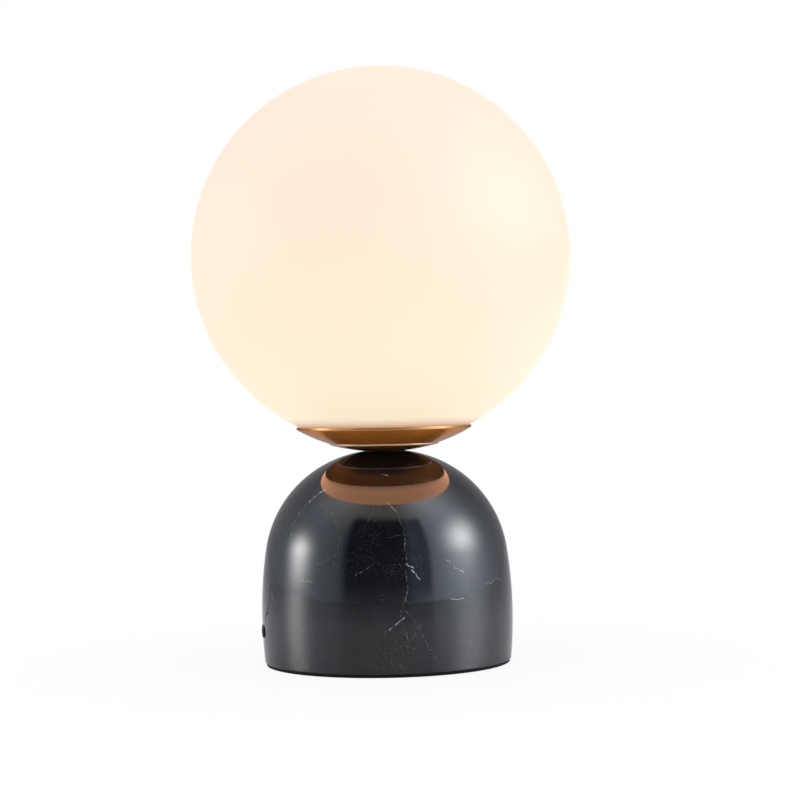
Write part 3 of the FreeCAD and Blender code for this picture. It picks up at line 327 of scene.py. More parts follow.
white = 0.0
for one in VEINS:
    white = sums(tree, "MAXIMUM", white, vein(*one))
broken = noise(tree, place, 750.0, 3.0, Roughness=0.7)
white = sums(tree, "MULTIPLY", white, ramp(tree, broken, 0.44, 0.56, 0.05, 1.0))

# All round the stone, faint threads, specks and fine dust of the same white. The threads come in
# patches, broken, and are fainter in front.
bent = vectors(tree, "MULTIPLY_ADD", slow, (0.005, 0.005, 0.005), place)
cells = node(tree, "TexVoronoi", inputs={"Vector": bent, "Scale": 42.0}, feature="DISTANCE_TO_EDGE")
threads = ramp(tree, cells, 0.006, 0.001)
threads = sums(tree, "MULTIPLY", threads, ramp(tree, noise(tree, place, 30.0, 3.0), 0.52, 0.64))
threads = sums(tree, "MULTIPLY", threads, ramp(tree, y, -0.02, 0.01, 0.08, 0.9))
threads = sums(tree, "MULTIPLY", threads, ramp(tree, broken, 0.42, 0.60))
dots = node(tree, "TexVoronoi", inputs={"Vector": place, "Scale": 820.0})
crowd = noise(tree, place, 75.0, 4.0)
specks = sums(tree, "MULTIPLY", ramp(tree, dots, 0.20, 0.05), ramp(tree, crowd, 0.50, 0.68, 0.0, 0.16))
grain = noise(tree, place, 2300.0, 2.0)
dust = sums(tree, "MULTIPLY", ramp(tree, grain, 0.56, 0.72), ramp(tree, crowd, 0.36, 0.60, 0.008, 0.035))
for more in (dust, threads, specks):
    white = sums(tree, "MAXIMUM", white, more)

cloud = ramp(tree, noise(tree, place, 45.0, 6.0, Roughness=0.6), 0.35, 0.7)
ground = mixed(tree, cloud, (0.0012, 0.0013, 0.0018), (0.0045, 0.005, 0.007))
veined = mixed(tree, white, ground, (0.72, 0.72, 0.71))
crack = vein(*CRACK)
polish = ramp(tree, noise(tree, place, 90.0, 4.0), 0.3, 0.8, 0.04, 0.08)
wired(tree, shader, Base_Color=mixed(tree, crack, veined, (0.001, 0.001, 0.001)),
      Roughness=sums(tree, "MAXIMUM", polish, crack))
finished(stone, marble, "stand", "marble_base")

# ---------------------------------------------------------------- pad and cover under the stone
# A thin die-cut felt disc is glued under the stone and over the fibre board disc that closes the
# stone's hollow. The board lies in a rebate and keeps its CAD solid.

PAD_RADIUS, PAD_MIDDLE = 48.27, 24.0

pad = made("felt_pad", [turned(eased([
    [(0.0, 0.0), (PAD_MIDDLE, 0.0), (PAD_RADIUS, 0.0)],
    [(PAD_RADIUS, 0.0), (PAD_RADIUS, STONE_BOTTOM)],
    [(PAD_RADIUS, STONE_BOTTOM), (PAD_MIDDLE, STONE_BOTTOM), (0.0, STONE_BOTTOM)],
], 0.35, closed=False), 192, closed=False)])
felt, tree, shader, place = material(
    "black_felt", Roughness=0.95, Sheen_Weight=0.08, Sheen_Roughness=0.5, Specular_IOR_Level=0.1)
fibre = noise(tree, place, 2600.0, 6.0, Roughness=0.7)
wired(tree, shader, Base_Color=mixed(tree, fibre, (0.002, 0.002, 0.0025), (0.016, 0.0155, 0.016)),
      Normal=bumpy(tree, fibre, 0.6, 0.0003))
finished(pad, felt, "stand", "base_pad")

board, tree, shader, place = material("black_board", Roughness=0.7)
grain = noise(tree, place, 700.0, 5.0)
wired(tree, shader, Base_Color=mixed(tree, grain, (0.012, 0.011, 0.010), (0.035, 0.032, 0.030)))


def dress(finish, *names):
    """Gives CAD nodes a material through their objects' own slots."""
    for name in names:
        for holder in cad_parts[name].material_slots:
            holder.link = "OBJECT"
            holder.material = finish


dress(board, "base_cover")

# ---------------------------------------------------------------- rubber sleeve and washer
# The cord comes in through a moulded rubber sleeve in the stone's side, with a flange inside the
# hollow. A thin rubber washer keeps the metal foot off the polished stone.

SLEEVE_BORE, SLEEVE_RADIUS, FLANGE_RADIUS = 2.0, 2.6, 4.0
SLEEVE_START, FLANGE_END, SLEEVE_END = 29.541, 30.741, 50.068
HOLE_RADIUS, WASHER_RADIUS, FOOT_BOTTOM = 5.15, 8.3, 84.05


def flat_ring(inner, outer, low, high):
    """Sides of a flat ring's outline."""
    return sides((inner, low), (outer, low), (outer, high), (inner, high), (inner, low))


sleeve_points, sleeve_quads = turned(eased(sides(
    (SLEEVE_BORE, SLEEVE_START),
    (FLANGE_RADIUS, SLEEVE_START),
    (FLANGE_RADIUS, FLANGE_END),
    (SLEEVE_RADIUS, FLANGE_END),
    (SLEEVE_RADIUS, SLEEVE_END),
    (SLEEVE_BORE, SLEEVE_END),
    (SLEEVE_BORE, SLEEVE_START),
), 0.22), 48)
outwards = np.array([math.cos(INLET_ANGLE), math.sin(INLET_ANGLE), 0.0])
sideways = np.array([-outwards[1], outwards[0], 0.0])
sleeve_points = sleeve_points @ np.array([sideways, [0.0, 0.0, 1.0], outwards]) + [0.0, 0.0, INLET_HEIGHT]
sleeve = made("cord_sleeve", [(sleeve_points, sleeve_quads)])
washer_sides = flat_ring(HOLE_RADIUS, WASHER_RADIUS, STONE_TOP, FOOT_BOTTOM)
washer = made("foot_washer", [turned(eased(washer_sides, 0.08), 96)])
rubber, tree, shader, place = material("black_rubber", Specular_IOR_Level=0.4)
bloom = noise(tree, place, 500.0, 5.0)
wired(tree, shader, Base_Color=mixed(tree, bloom, (0.006, 0.006, 0.006), (0.020, 0.019, 0.018)),
      Roughness=ramp(tree, bloom, 0.3, 0.7, 0.45, 0.65), Normal=bumpy(tree, bloom, 0.2, 0.0002))
finished(sleeve, rubber, "stand", "cord_grommet")
finished(washer, rubber, "stand", "seat_washer")

# ---------------------------------------------------------------- foot and dish
# A turned disc and a shallow spun bowl with an upright lip, both copper plated and brushed while
# they spin, so fine lines run round them. The tube clamps them down on the stone.

SEAT_RADIUS, FLAT_RADIUS, LIP_RADIUS = 8.6, 21.8, 34.7
LIP_BOTTOM, LIP_TOP, DISH_SHEET, FLAT_SUNK = 92.8, 93.8, 0.8, 0.3
FOOT_RADIUS, FOOT_TOP_RADIUS, FOOT_EDGE = 21.4, 21.0, 0.25


def ball_through(low, high):
    """Centre height and radius of the ball, centred on Z, through two (r, z) points."""
    rise = high[1] - low[1]
    centre = (high[0] ** 2 - low[0] ** 2 + high[1] ** 2 - low[1] ** 2) / (2 * rise)
    return centre, math.hypot(low[0], centre - low[1])


def low_arc(centre, radius, first_r, last_r, count):
    """Points on the lower half of a ball from one distance from Z to another."""
    angles = [180 - math.degrees(math.asin(r / radius)) for r in (first_r, last_r)]
    return arc((0.0, centre), radius, *angles, count)


bowl_centre, bowl_radius = ball_through((SEAT_RADIUS, FOOT_BOTTOM), (LIP_RADIUS, LIP_BOTTOM))
bowl_bottom = bowl_centre - math.sqrt(bowl_radius ** 2 - FLAT_RADIUS ** 2) - FLAT_SUNK
bowl_floor = bowl_bottom + DISH_SHEET
floor_radius = math.sqrt((bowl_radius - DISH_SHEET) ** 2 - (bowl_centre - bowl_floor) ** 2)
bowl_out = low_arc(bowl_centre, bowl_radius, FLAT_RADIUS, LIP_RADIUS, 28)
bowl_in = low_arc(bowl_centre, bowl_radius - DISH_SHEET, LIP_RADIUS - DISH_SHEET, floor_radius, 28)
dish = made("spun_dish", [turned(eased([
    *sides((HOLE_RADIUS, bowl_bottom), (FLAT_RADIUS, bowl_bottom), bowl_out[0]),
    bowl_out,
    *sides(bowl_out[-1], (LIP_RADIUS, LIP_TOP), (LIP_RADIUS - DISH_SHEET, LIP_TOP), bowl_in[0]),
    bowl_in,
    *sides(bowl_in[-1], (HOLE_RADIUS, bowl_floor), (HOLE_RADIUS, bowl_bottom)),
], 0.22), 224)])
foot_centre, foot_radius = ball_through((SEAT_RADIUS, FOOT_BOTTOM), (FOOT_RADIUS, bowl_bottom - FOOT_EDGE))
foot_out = low_arc(foot_centre, foot_radius, SEAT_RADIUS, FOOT_RADIUS, 20)
foot = made("turned_foot", [turned(eased([
    *sides((HOLE_RADIUS, FOOT_BOTTOM), (SEAT_RADIUS, FOOT_BOTTOM)),
    foot_out,
    *sides(foot_out[-1], (FOOT_TOP_RADIUS, bowl_bottom), (HOLE_RADIUS, bowl_bottom),
           (HOLE_RADIUS, FOOT_BOTTOM)),
], 0.12), 192)])

copper, tree, shader, place = material(
    "brushed_copper", Metallic=0.66, Specular_IOR_Level=0.15, Specular_Tint=(0.40, 0.38, 0.37, 1),
    Anisotropic=0.6, Anisotropic_Rotation=0.25)
z = parted(tree, place)[2]
height_mm = sums(tree, "MULTIPLY", z, 1000.0)
from_axis = vectors(tree, "LENGTH", vectors(tree, "MULTIPLY", place, (1.0, 1.0, 0.0)), out="Value")
profile = node(tree, "CombineXYZ", inputs={0: from_axis, 2: z})
lines = noise(tree, profile, 5200.0, 3.0)
tone = sums(tree, "ADD", noise(tree, profile, 420.0, 2.0), noise(tree, place, 70.0, 4.0))
plate = mixed(tree, ramp(tree, tone, 0.7, 1.3), (0.70, 0.225, 0.034), (0.80, 0.285, 0.052))

# The lip is painted a paler, duller tan, a painted tone for its reflection of the globe. Below the ring the
# foot is painted dark, a painted reflection of the dark stone under it, and the ring where foot and dish meet
# is a painted highlight.
painted_lip_tone = ramp(tree, height_mm, 92.6, 93.1)
painted_foot_shade = ramp(tree, height_mm, bowl_bottom - 0.20, bowl_bottom - 0.45)
ring = sums(tree, "MULTIPLY", ramp(tree, height_mm, bowl_bottom - 0.38, bowl_bottom - 0.2),
            ramp(tree, height_mm, bowl_bottom + 0.30, bowl_bottom + 0.12))
# Painted light mixed into the plating: lip tone, foot shade and ring highlight
plate = mixed(tree, painted_lip_tone, plate, (0.42, 0.24, 0.11))
plate = mixed(tree, painted_foot_shade, plate, (0.34, 0.15, 0.035))
plate = mixed(tree, ring, plate, (0.98, 0.78, 0.60))
wired(tree, shader, Base_Color=plate, Roughness=ramp(tree, lines, 0.25, 0.75, 0.16, 0.24),
      Normal=bumpy(tree, lines, 0.10, 0.00003),
      Tangent=node(tree, "Tangent", direction_type="RADIAL", axis="Z"))
finished(dish, copper, "stand", "gallery_dish")
finished(foot, copper, "stand", "dish_foot")

# ---------------------------------------------------------------- globe
# A ball blown in opal glass, cut off and ground flat at its mouth, and matt all over. The bulb
# inside makes it glow warm. The glow is painted brighter low down, where the lamps light it less, and darker
# where it sits in the dish, as painted shade. What polished pieces mirror of it is painted stronger and
# redder.

GLOBE_CENTRE, OUTSIDE, INSIDE, MOUTH_RADIUS = 160.897, 75.0, 72.5, 24.0

outer_mouth, inner_mouth = (180 - math.degrees(math.asin(MOUTH_RADIUS / r)) for r in (OUTSIDE, INSIDE))
globe_out = arc((0.0, GLOBE_CENTRE), OUTSIDE, 0.0, outer_mouth, 128)
globe_in = arc((0.0, GLOBE_CENTRE), INSIDE, inner_mouth, 0.0, 96)
globe = made("opal_globe", [turned(eased([
    globe_out,
    [globe_out[-1], globe_in[0]],
    globe_in,
], 0.3, closed=False), 224, closed=False)])
opal, tree, shader, place = material(
    "opal_glass", Roughness=0.55, Specular_IOR_Level=0.35, Emission_Strength=1.0)
z = parted(tree, place)[2]
stir = ramp(tree, noise(tree, place, 9.0, 2.0), 0.35, 0.65)
# Painted shade: the glow falls off where the globe sits in the dish
painted_dish_shade = ramp(tree, z, 0.0978, 0.0923)
# Painted light: the glow is brighter low down, where the lamps light the globe less
glow_with_painted_shade = mixed(tree, ramp(tree, z, 0.10, 0.23), (0.745, 0.620, 0.440), (0.63, 0.50, 0.405))
glow_with_painted_shade = mixed(tree, painted_dish_shade, glow_with_painted_shade, (0.30, 0.12, 0.045))
# Painted reflection: glossy rays see a stronger, redder glow, darker where the globe sits in the dish
painted_reflection_glow = mixed(tree, painted_dish_shade, (4.7, 2.05, 1.0), (1.1, 0.75, 0.48))
wired(tree, shader, Base_Color=mixed(tree, stir, (0.29, 0.255, 0.215), (0.32, 0.285, 0.245)),
      Emission_Color=mixed(tree, node(tree, "LightPath", out="Is Glossy Ray"), glow_with_painted_shade, painted_reflection_glow))
finished(globe, opal, "globe", "glass_globe")

# ---------------------------------------------------------------- mouth channel
# A soft clear silicone channel is pushed over the globe's ground edge, so that the spring fingers
# never touch the glass. It is extruded, and joined into a ring.

CHANNEL_SHEET, CHANNEL_BORE, CHANNEL_OUTER_EDGE, CHANNEL_INNER_EDGE = 0.8, 23.2, 27.5, 26.5

faces = [low_arc(GLOBE_CENTRE, *face) for face in (
    (OUTSIDE + CHANNEL_SHEET, CHANNEL_BORE, CHANNEL_OUTER_EDGE, 8),
    (OUTSIDE, CHANNEL_OUTER_EDGE, MOUTH_RADIUS, 8),
    (INSIDE, MOUTH_RADIUS, CHANNEL_INNER_EDGE, 6),
    (INSIDE - CHANNEL_SHEET, CHANNEL_INNER_EDGE, CHANNEL_BORE, 6),
)]
channel_runs = []
for face, following in zip(faces, faces[1:] + faces[:1]):
    channel_runs += [face, [face[-1], following[0]]]
trim = made("mouth_channel", [turned(eased(channel_runs, 0.2), 192)])
silicone, tree, shader, place = material("clear_silicone", IOR=1.41, Transmission_Weight=0.55)
haze = noise(tree, place, 320.0, 4.0)
wired(tree, shader, Base_Color=mixed(tree, haze, (0.70, 0.69, 0.66), (0.82, 0.81, 0.79)),
      Roughness=ramp(tree, haze, 0.3, 0.7, 0.30, 0.48))
finished(trim, silicone, "globe", "mouth_trim")

# ---------------------------------------------------------------- tube, nuts and plates
# Zinc plated steel. A threaded tube runs through the stone and holds the foot, the dish, the finger
# carrier and the socket's bracket between nuts. A plate and a spring washer spread the lowest nut.

TUBE_BOTTOM, TUBE_TOP, THREAD_PITCH = 19.0, 101.62, 1.0
CREST_RADIUS, ROOT_RADIUS, TUBE_BORE = 5.0, 4.4, 4.0
FLATS, COUNTERSINK, FACE_INSET = 17.0, 0.35, 0.25
CARRIER_RADIUS, CARRIER_BOTTOM, CARRIER_TOP = 19.55, 87.52, 88.32


def threaded(low, high, turns=48, steps=8):
    """Tube with a thread. Its radius is the root's plus the half depth times one more than a clipped
    triangle wave of height less the share of a turn, and it falls to the root's at both ends."""
    a = np.linspace(0, 2 * np.pi, turns, endpoint=False)
    z = np.linspace(low, high, round((high - low) / THREAD_PITCH * steps) + 1)
    phase = (z[:, None] / THREAD_PITCH - a[None, :] / (2 * np.pi)) % 1.0
    wave = np.clip(1.35 * (1 - 4 * np.abs(phase - 0.5)), -1, 1)
    fade = np.clip(np.minimum(z - low, high - z) / 0.7, 0, 1)[:, None]
    r = ROOT_RADIUS + (CREST_RADIUS - ROOT_RADIUS) / 2 * fade * (1 + wave)
    outside = np.stack((r * np.cos(a), r * np.sin(a), np.broadcast_to(z[:, None], r.shape)), -1)
    bore_z = np.array([high, high - 0.3, low + 0.3, low])
    bore_r = TUBE_BORE + np.array([0.2, 0.0, 0.0, 0.2])
    inside = np.stack((np.outer(bore_r, np.cos(a)), np.outer(bore_r, np.sin(a)),
                       np.outer(bore_z, np.ones(turns))), -1)
    return loops(np.concatenate((outside, inside, outside[:1])))


def hexagon_nut(low, high, turns=96):
    """Nut across its flats: the radius is that of a hexagon, cut down near both faces to a cone that
    grows by the square root of three for each unit of depth. The bore has a small countersink."""
    a = np.linspace(0, 2 * np.pi, turns, endpoint=False)
    hexagon = FLATS / 2 / np.cos((a + np.pi / 6) % (np.pi / 3) - np.pi / 6)
    depth = np.concatenate((np.linspace(0, 0.75, 10), np.linspace(0.9, (high - low) / 2, 3)))
    side = np.minimum(hexagon[None, :], (FLATS / 2 - FACE_INSET + math.sqrt(3) * depth)[:, None])
    bore = np.full((1, turns), CREST_RADIUS)
    r = np.concatenate((bore, bore + COUNTERSINK, side))
    z = np.concatenate(([low + COUNTERSINK, low], low + depth))
    r, z = np.concatenate((r, r[::-1][1:])), np.concatenate((z, (low + high - z)[::-1][1:]))
    rings = np.stack((r * np.cos(a), r * np.sin(a), np.broadcast_to(z[:, None], r.shape)), -1)
    return loops(np.concatenate((rings, rings[:1])))


tube = made("threaded_pipe", [threaded(TUBE_BOTTOM, TUBE_TOP)])
lowest_nut = made("stone_nut", [hexagon_nut(21.0, 26.0)], 25)
dish_nut = made("dish_nut", [hexagon_nut(89.02, 92.62)], 25)
thin_nuts = made("thin_nuts", [hexagon_nut(95.22, 97.62), hexagon_nut(98.62, 101.02)], 25)
carrier_sides = flat_ring(HOLE_RADIUS, CARRIER_RADIUS, CARRIER_BOTTOM, CARRIER_TOP)
carrier = made("finger_plate", [turned(eased(carrier_sides, 0.15), 160)])

zinc, tree, shader, place = material("zinc_steel", Metallic=1.0)
passive = ramp(tree, noise(tree, place, 160.0, 3.0), 0.35, 0.65)
fine = noise(tree, place, 1900.0, 4.0)
wired(tree, shader, Base_Color=mixed(tree, passive, (0.52, 0.54, 0.58), (0.66, 0.64, 0.58)),
      Roughness=ramp(tree, fine, 0.3, 0.7, 0.27, 0.34), Normal=bumpy(tree, fine, 0.08, 0.00002))
finished(tube, zinc, "stand", "threaded_tube")
finished(lowest_nut, zinc, "stand", "base_nut")
finished(dish_nut, zinc, "stand", "gallery_nut")
finished(thin_nuts, zinc, "stand", "bracket_nuts")
finished(carrier, zinc, "stand", "clip_carrier")
dress(zinc, "clamp_plate", "spring_washer", "socket_screw", "socket_screw_nut", "terminal_screws",
      "terminal_fixing_screw")

# ---------------------------------------------------------------- spring fingers
# Three leaves of spring steel, riveted by their feet to the carrier. They bow out inside the
# globe's mouth and lean in at the top, so the globe snaps down over them.

FINGER_ANGLES = (30, 150, 270)
FINGER_SHEET, FINGER_WIDTH, FINGER_TIP = 0.5, 7.0, 2.2
RIVET_PLACE, SHANK_RADIUS, HEAD_RADIUS, HEAD_BOTTOM = 16.633, 1.3, 2.2, 88.82
HEAD_EYE, HEAD_CURVE = (0.0, 86.93), 2.79


def strip(line, sheet, width, corner, tip=0.0):
    """Bent strip of sheet along a line in a plane: at each point of the line a flat loop with round
    corners, its short side along the line's normal and its long side across the plane. The width
    narrows along an ellipse near the tip, and both ends are closed to a point."""
    line = np.asarray(line, float)
    along = np.gradient(line, axis=0)
    along /= np.hypot(*along.T)[:, None]
    normal = np.column_stack((-along[:, 1], along[:, 0]))
    length = np.concatenate(([0.0], np.cumsum(np.hypot(*np.diff(line, axis=0).T))))
    t = np.radians(np.linspace(0, 360, 32, endpoint=False))
    u = np.clip(np.sqrt(2) * np.cos(t), -1, 1) * (sheet / 2 - corner) + corner * np.cos(t)
    v = np.clip(np.sqrt(2) * np.sin(t), -1, 1) * (width / 2 - corner) + corner * np.sin(t)
    near = np.clip(1 - (length[-1] - length) / tip, 0, 1) if tip else np.zeros(len(line))
    narrow = 1 - (1 - np.sqrt(1 - 0.9 * near ** 2)) * 0.8
    flat = line[:, None, :] + normal[:, None, :] * u[None, :, None]
    rings = np.stack((flat[..., 0], v[None, :] * narrow[:, None], flat[..., 1]), -1)
    ends = [np.broadcast_to(np.array([[end[0], 0.0, end[1]]]), (1, len(t), 3)) for end in (line[0], line[-1])]
    return loops(np.concatenate((ends[0], rings, ends[1])))


def spun(block, degrees):
    """A block of vertices and quads turned about Z."""
    turn = np.radians(degrees)
    points, quads = block
    x = points[:, 0] * np.cos(turn) - points[:, 1] * np.sin(turn)
    y = points[:, 0] * np.sin(turn) + points[:, 1] * np.cos(turn)
    return np.column_stack((x, y, points[:, 2])), quads


finger_line = eased(sides(
    (12.633, 88.57), (19.833, 88.57), (20.633, 89.37), (22.533, 90.763), (22.533, 91.563),
    (20.633, 97.763), (19.833, 98.563),
), 0.55, closed=False)
finger = strip(finger_line, FINGER_SHEET, FINGER_WIDTH, 0.12, tip=FINGER_TIP)
fingers = made("leaf_fingers", [spun(finger, angle) for angle in FINGER_ANGLES], 50)
rivet, rivet_quads = turned(eased([
    *sides((0.0, CARRIER_BOTTOM), (SHANK_RADIUS, CARRIER_BOTTOM), (SHANK_RADIUS, HEAD_BOTTOM),
           (HEAD_RADIUS, HEAD_BOTTOM)),
    arc(HEAD_EYE, HEAD_CURVE, 52.0, 0.0, 10),
], 0.08, closed=False), 40, closed=False)
rivet_block = (rivet + [RIVET_PLACE, 0, 0], rivet_quads)
rivets = made("finger_pins", [spun(rivet_block, angle) for angle in FINGER_ANGLES])

blued, tree, shader, place = material("spring_steel", Metallic=1.0)
rolled = node(tree, "Mapping", inputs={"Vector": place, "Scale": (1.0, 1.0, 8.0)})
grain = noise(tree, rolled, 700.0, 4.0)
wired(tree, shader, Base_Color=mixed(tree, grain, (0.34, 0.33, 0.33), (0.50, 0.49, 0.47)),
      Roughness=ramp(tree, grain, 0.3, 0.7, 0.22, 0.38))
finished(fingers, blued, "stand", "spring_fingers")
finished(rivets, zinc, "stand", "finger_rivets")
dress(blued, "gallery_lock_washer")

# ---------------------------------------------------------------- socket bracket
# A strip of steel bent to a floor and two arms, which draw in to the socket's sides. The thin nuts
# hold its floor on the tube, and one screw crosses both arms.

BRACKET_SHEET, BRACKET_WIDTH = 1.0, 12.6

arm = [(6.1, 116.62), (6.1, 107.62), (10.0, 101.02), (10.0, 98.12)]
bracket_line = eased(sides(*arm, *((-y, z) for y, z in arm[::-1])), 1.1, closed=False)
bracket = made("bent_bracket", [spun(strip(bracket_line, BRACKET_SHEET, BRACKET_WIDTH, 0.2), 90)], 50)
finished(bracket, zinc, "stand", "socket_bracket")

# ---------------------------------------------------------------- bushes, terminal block and leads
# Moulded nylon, white, with brass barrels. The block joins the cord to two insulated leads, which
# climb through the tube to the socket.


def mottled(name, low_colour, high_colour, scale, rough, **sockets):
    """Material between two near colours by noise, with roughness from the same noise."""
    new, tree, shader, place = material(name, **sockets)
    mottle = noise(tree, place, scale, 4.0)
    wired(tree, shader, Base_Color=mixed(tree, ramp(tree, mottle, 0.3, 0.7), low_colour, high_colour),
          Roughness=ramp(tree, mottle, 0.3, 0.7, *rough), Normal=bumpy(tree, mottle, 0.1, 0.0001))
    return new


dress(mottled("white_nylon", (0.66, 0.65, 0.61), (0.74, 0.73, 0.69), 420.0, (0.42, 0.58)),
      "tube_bushes", "terminal_block")
dress(mottled("contact_brass", (0.62, 0.43, 0.17), (0.76, 0.56, 0.26), 520.0, (0.22, 0.40), Metallic=1.0),
      "socket_contacts", "terminal_inserts")
dress(mottled("brown_insulation", (0.10, 0.035, 0.012), (0.15, 0.055, 0.022), 380.0, (0.38, 0.52)),
      "lead_live")
dress(mottled("blue_insulation", (0.02, 0.09, 0.30), (0.035, 0.14, 0.42), 380.0, (0.38, 0.52)),
      "lead_neutral")

# ---------------------------------------------------------------- socket and bulb
# An unglazed ceramic socket is screwed across the bracket. The push-in bulb has a ceramic foot, two
# wire loops, and a frosted capsule over four light strips on a post.

dress(mottled("white_ceramic", (0.70, 0.69, 0.65), (0.78, 0.77, 0.74), 260.0, (0.32, 0.48)), "socket_body")
dress(mottled("nickel_wire", (0.55, 0.52, 0.47), (0.66, 0.62, 0.57), 600.0, (0.24, 0.36), Metallic=1.0),
      "bulb_pins")
dress(mottled("heat_sink", (0.60, 0.60, 0.60), (0.72, 0.72, 0.71), 600.0, (0.30, 0.45), Metallic=0.6),
      "led_post")
dress(mottled("led_yellow", (0.80, 0.50, 0.06), (0.90, 0.62, 0.12), 900.0, (0.30, 0.45),
              Emission_Color=(1.0, 0.62, 0.25, 1), Emission_Strength=1.0), "led_strips")

FOOT_LENGTH, FOOT_WIDTH, BULB_BOTTOM, COLLAR_BOTTOM = 14.0, 9.0, 127.82, 132.82
CAPSULE_BOTTOM, CAPSULE_EYE, CAPSULE_RADIUS, CAPSULE_BORE = 137.32, 164.82, 7.5, 6.5


def rounded_block(length, width, corner, low, high, ease):
    """Upright block with round corners: a loop whose corners are quarter circles, drawn in by the ease
    near both faces along a quarter circle, and closed to a point at the middle of each face."""
    t = np.linspace(0, 2 * np.pi, 96, endpoint=False) + np.pi / 96
    x, y = np.cos(t), np.sin(t)
    x_eye, y_eye = np.sign(x) * (length / 2 - corner), np.sign(y) * (width / 2 - corner)
    q = np.linspace(0, np.pi / 2, 6)
    inset = np.concatenate((ease * (1 - np.sin(q)), (ease * (1 - np.sin(q)))[::-1]))
    z = np.concatenate((low + ease * (1 - np.cos(q)), (high - ease * (1 - np.cos(q)))[::-1]))
    r = corner - inset[:, None]
    rings = np.stack((x_eye + r * x, y_eye + r * y, np.broadcast_to(z[:, None], (len(z), len(t)))), -1)
    ends = [np.broadcast_to(np.array([[0.0, 0.0, end]]), (1, len(t), 3)) for end in (low, high)]
    return loops(np.concatenate((ends[0], rings, ends[1])))


bulb_foot = made("bulb_foot", [
    rounded_block(FOOT_LENGTH, FOOT_WIDTH, 3.0, BULB_BOTTOM, COLLAR_BOTTOM, 0.5),
    turned(eased(sides(
        (0.0, COLLAR_BOTTOM), (CAPSULE_RADIUS, COLLAR_BOTTOM), (CAPSULE_RADIUS, CAPSULE_BOTTOM),
        (0.0, CAPSULE_BOTTOM),
    ), 0.35, closed=False), 96, closed=False),
])
finished(bulb_foot, mottled("bulb_ceramic", (0.66, 0.65, 0.62), (0.76, 0.75, 0.72), 700.0, (0.50, 0.68)),
         "bulb", "bulb_base")
capsule = made("bulb_capsule", [turned(np.concatenate((
    arc((0.0, CAPSULE_EYE), CAPSULE_BORE, 0.0, 90.0, 20),
    [(CAPSULE_BORE, z) for z in (156.0, 146.0, CAPSULE_BOTTOM)],
    [(CAPSULE_RADIUS, z) for z in (CAPSULE_BOTTOM, 146.0, 156.0)],
    arc((0.0, CAPSULE_EYE), CAPSULE_RADIUS, 90.0, 0.0, 24),
)), 96, closed=False)])
finished(capsule, mottled("frosted_cover", (0.26, 0.23, 0.19), (0.30, 0.27, 0.22), 500.0, (0.40, 0.60),
                          Emission_Color=(0.72, 0.58, 0.40, 1), Emission_Strength=1.0),
         "bulb", "bulb_envelope")

# ---------------------------------------------------------------- table, light and camera
# A white table under a white studio. The world gives even light, a dark opening behind the camera
# and two soft boxes beside it, which only polished pieces see.

HALF_TABLE = 4

table = bpy.data.meshes.new("table")
table.from_pydata([(-HALF_TABLE, -HALF_TABLE, 0), (HALF_TABLE, -HALF_TABLE, 0), (HALF_TABLE, HALF_TABLE, 0),
                   (-HALF_TABLE, HALF_TABLE, 0)], [], [(0, 1, 2, 3)])
table_top = bpy.data.objects.new("table", table)
bpy.context.collection.objects.link(table_top)

# The table is painted brighter near the lamp and darker away from it, a painted pool of light for what the
# stone mirrors, and the camera sees it burnt out to white
white_top, tree, shader, place = material("white_table", Roughness=0.28)
away = vectors(tree, "LENGTH", place, out="Value")
# Painted pool of light: brighter near the lamp, darker away from it
painted_light_pool = sums(tree, "MINIMUM", sums(tree, "ADD", 0.42, sums(tree, "DIVIDE", 0.11, away)), 0.94)
painted_light_pool = node(tree, "CombineXYZ", inputs={0: painted_light_pool, 1: painted_light_pool, 2: sums(tree, "MULTIPLY", painted_light_pool, 1.08)})
wired(tree, shader, Base_Color=painted_light_pool)
bright = node(tree, "Emission", inputs={"Color": (1.0, 1.0, 1.0, 1), "Strength": 1.0})
burnt_out = sums(tree, "MULTIPLY", node(tree, "LightPath", out="Is Camera Ray"),
                 ramp(tree, away, 0.04, 0.20, 0.90, 1.0))
to_camera = node(tree, "MixShader", inputs={0: burnt_out, 1: shader.outputs[0], 2: bright})
tree.links.new(to_camera, tree.nodes["Material Output"].inputs[0])
table_top.data.materials.append(white_top)

world = bpy.data.worlds.new("studio")
bpy.context.scene.world = world
world.use_nodes = True
world.cycles.sampling_method = "NONE"
tree = world.node_tree
x, y, z = parted(tree, node(tree, "TexCoord", out="Generated"))
azimuth = sums(tree, "ARCTAN2", x, sums(tree, "MULTIPLY", y, -1.0))
elevation = sums(tree, "ARCSINE", z, 0.0)


def between(value, low, high, soft):
    """One between two angles in degrees, and zero outside them, with soft edges."""
    low, high, soft = (math.radians(x) for x in (low, high, soft))
    rise = ramp(tree, value, low - soft / 2, low + soft / 2)
    return sums(tree, "MULTIPLY", rise, ramp(tree, value, high + soft / 2, high - soft / 2))


def patch(azimuths, elevations, soft):
    """Soft-edged window of the studio, by azimuth from -Y towards +X and by elevation."""
    return sums(tree, "MULTIPLY", between(azimuth, *azimuths, soft), between(elevation, *elevations, soft))


def bell(value, middle, spread):
    """Power of a bell curve: half the square of the distance from its middle, in spreads, made negative."""
    off = sums(tree, "DIVIDE", sums(tree, "SUBTRACT", value, math.radians(middle)), math.radians(spread))
    return sums(tree, "MULTIPLY", sums(tree, "MULTIPLY", off, off), -0.5)


def glowing(below, power, colour):
    """Adds a glow, which is e to a power, to a colour."""
    return mixed(tree, sums(tree, "EXPONENT", power, 0.0), below, colour, blend_type="ADD")


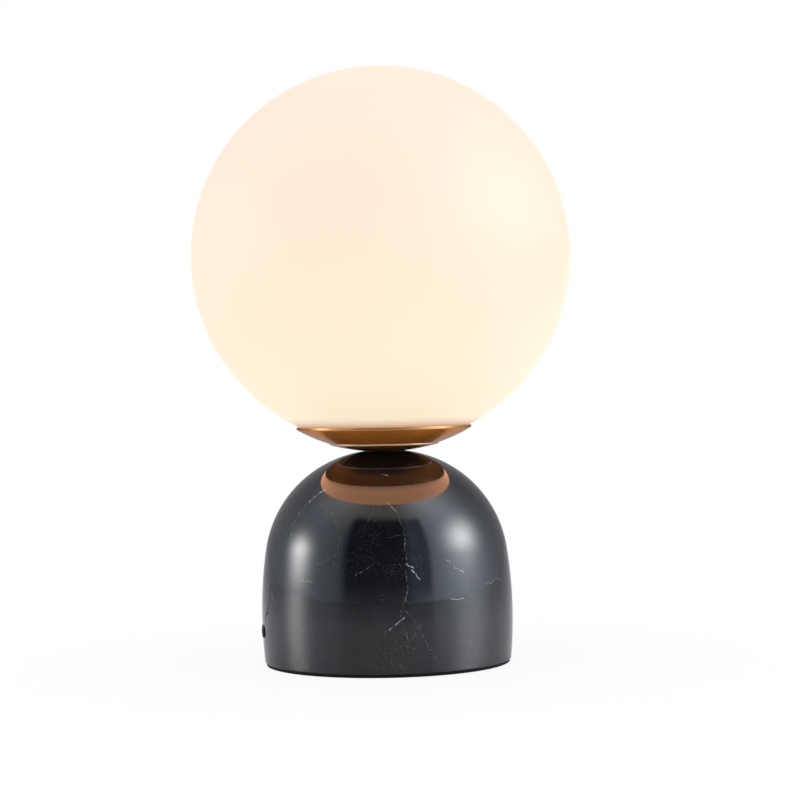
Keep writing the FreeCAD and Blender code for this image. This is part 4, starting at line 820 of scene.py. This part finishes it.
# The ceiling, both side walls, the opening behind the camera in two steps, and the soft boxes
studio = mixed(tree, ramp(tree, elevation, 0.6, 1.05), (0.34, 0.34, 0.36), (1.10, 0.98, 0.82))
studio = glowing(studio, bell(azimuth, -80, 28), (0.95, 1.10, 1.30))
studio = glowing(studio, bell(azimuth, 72, 26), (2.3, 2.7, 3.2))
studio = mixed(tree, patch((-43, 42), (1.5, 48), 7), studio, (0.45, 0.54, 0.75))
studio = mixed(tree, patch((-40, 21), (1.5, 50), 10), studio, (0.09, 0.10, 0.13))
left_box = sums(tree, "ADD", bell(azimuth, -91, 8.5), bell(elevation, 11.5, 6.5))
right_box = sums(tree, "ADD", bell(azimuth, 81, 12), bell(elevation, 21, 8.4))
studio = glowing(studio, left_box, (11.4, 11.4, 11.2))
studio = glowing(studio, right_box, (11.0, 11.0, 10.8))
by_mirror, through_glass, to_eye = (
    node(tree, "LightPath", out=f"Is {kind} Ray") for kind in ("Glossy", "Transmission", "Camera"))
seen = mixed(tree, sums(tree, "MAXIMUM", by_mirror, through_glass), (0.88, 0.88, 0.88), studio)
seen = mixed(tree, to_eye, seen, (1.0, 1.0, 1.0))
tree.links.new(seen, tree.nodes["Background"].inputs["Color"])

for name, spot, size, power in (("key", (-0.9, -1.1, 1.5), 0.9, 6.5), ("fill", (1.2, -0.9, 1.0), 1.1, 7.0)):
    lamp = bpy.data.lights.new(name, "AREA")
    lamp.size = size
    lamp.energy = power
    holder = bpy.data.objects.new(name, lamp)
    holder.location = spot
    holder.rotation_euler = (Vector((0, 0, 0.11)) - Vector(spot)).to_track_quat("-Z", "Y").to_euler()
    holder.visible_glossy = False
    holder.visible_camera = False
    bpy.context.collection.objects.link(holder)

# The eye is 0.87 m in front at mid height, turned half a degree to the right and down, and rolled,
# because the lamp leans a little in the photo
eye = bpy.data.cameras.new("eye")
eye.sensor_width = 36.0
eye.lens = 98.6
camera = bpy.data.objects.new("eye", eye)
bpy.context.collection.objects.link(camera)
camera.matrix_world = (
    Matrix.Translation((0.0, -0.870, 0.112))
    @ Matrix.Rotation(math.radians(-0.434), 4, "Z")
    @ Matrix.Rotation(math.radians(89.467), 4, "X")
    @ Matrix.Rotation(math.radians(-1.1), 4, "Z")
)
bpy.context.scene.camera = camera
bpy.context.scene.view_settings.view_transform = "Standard"
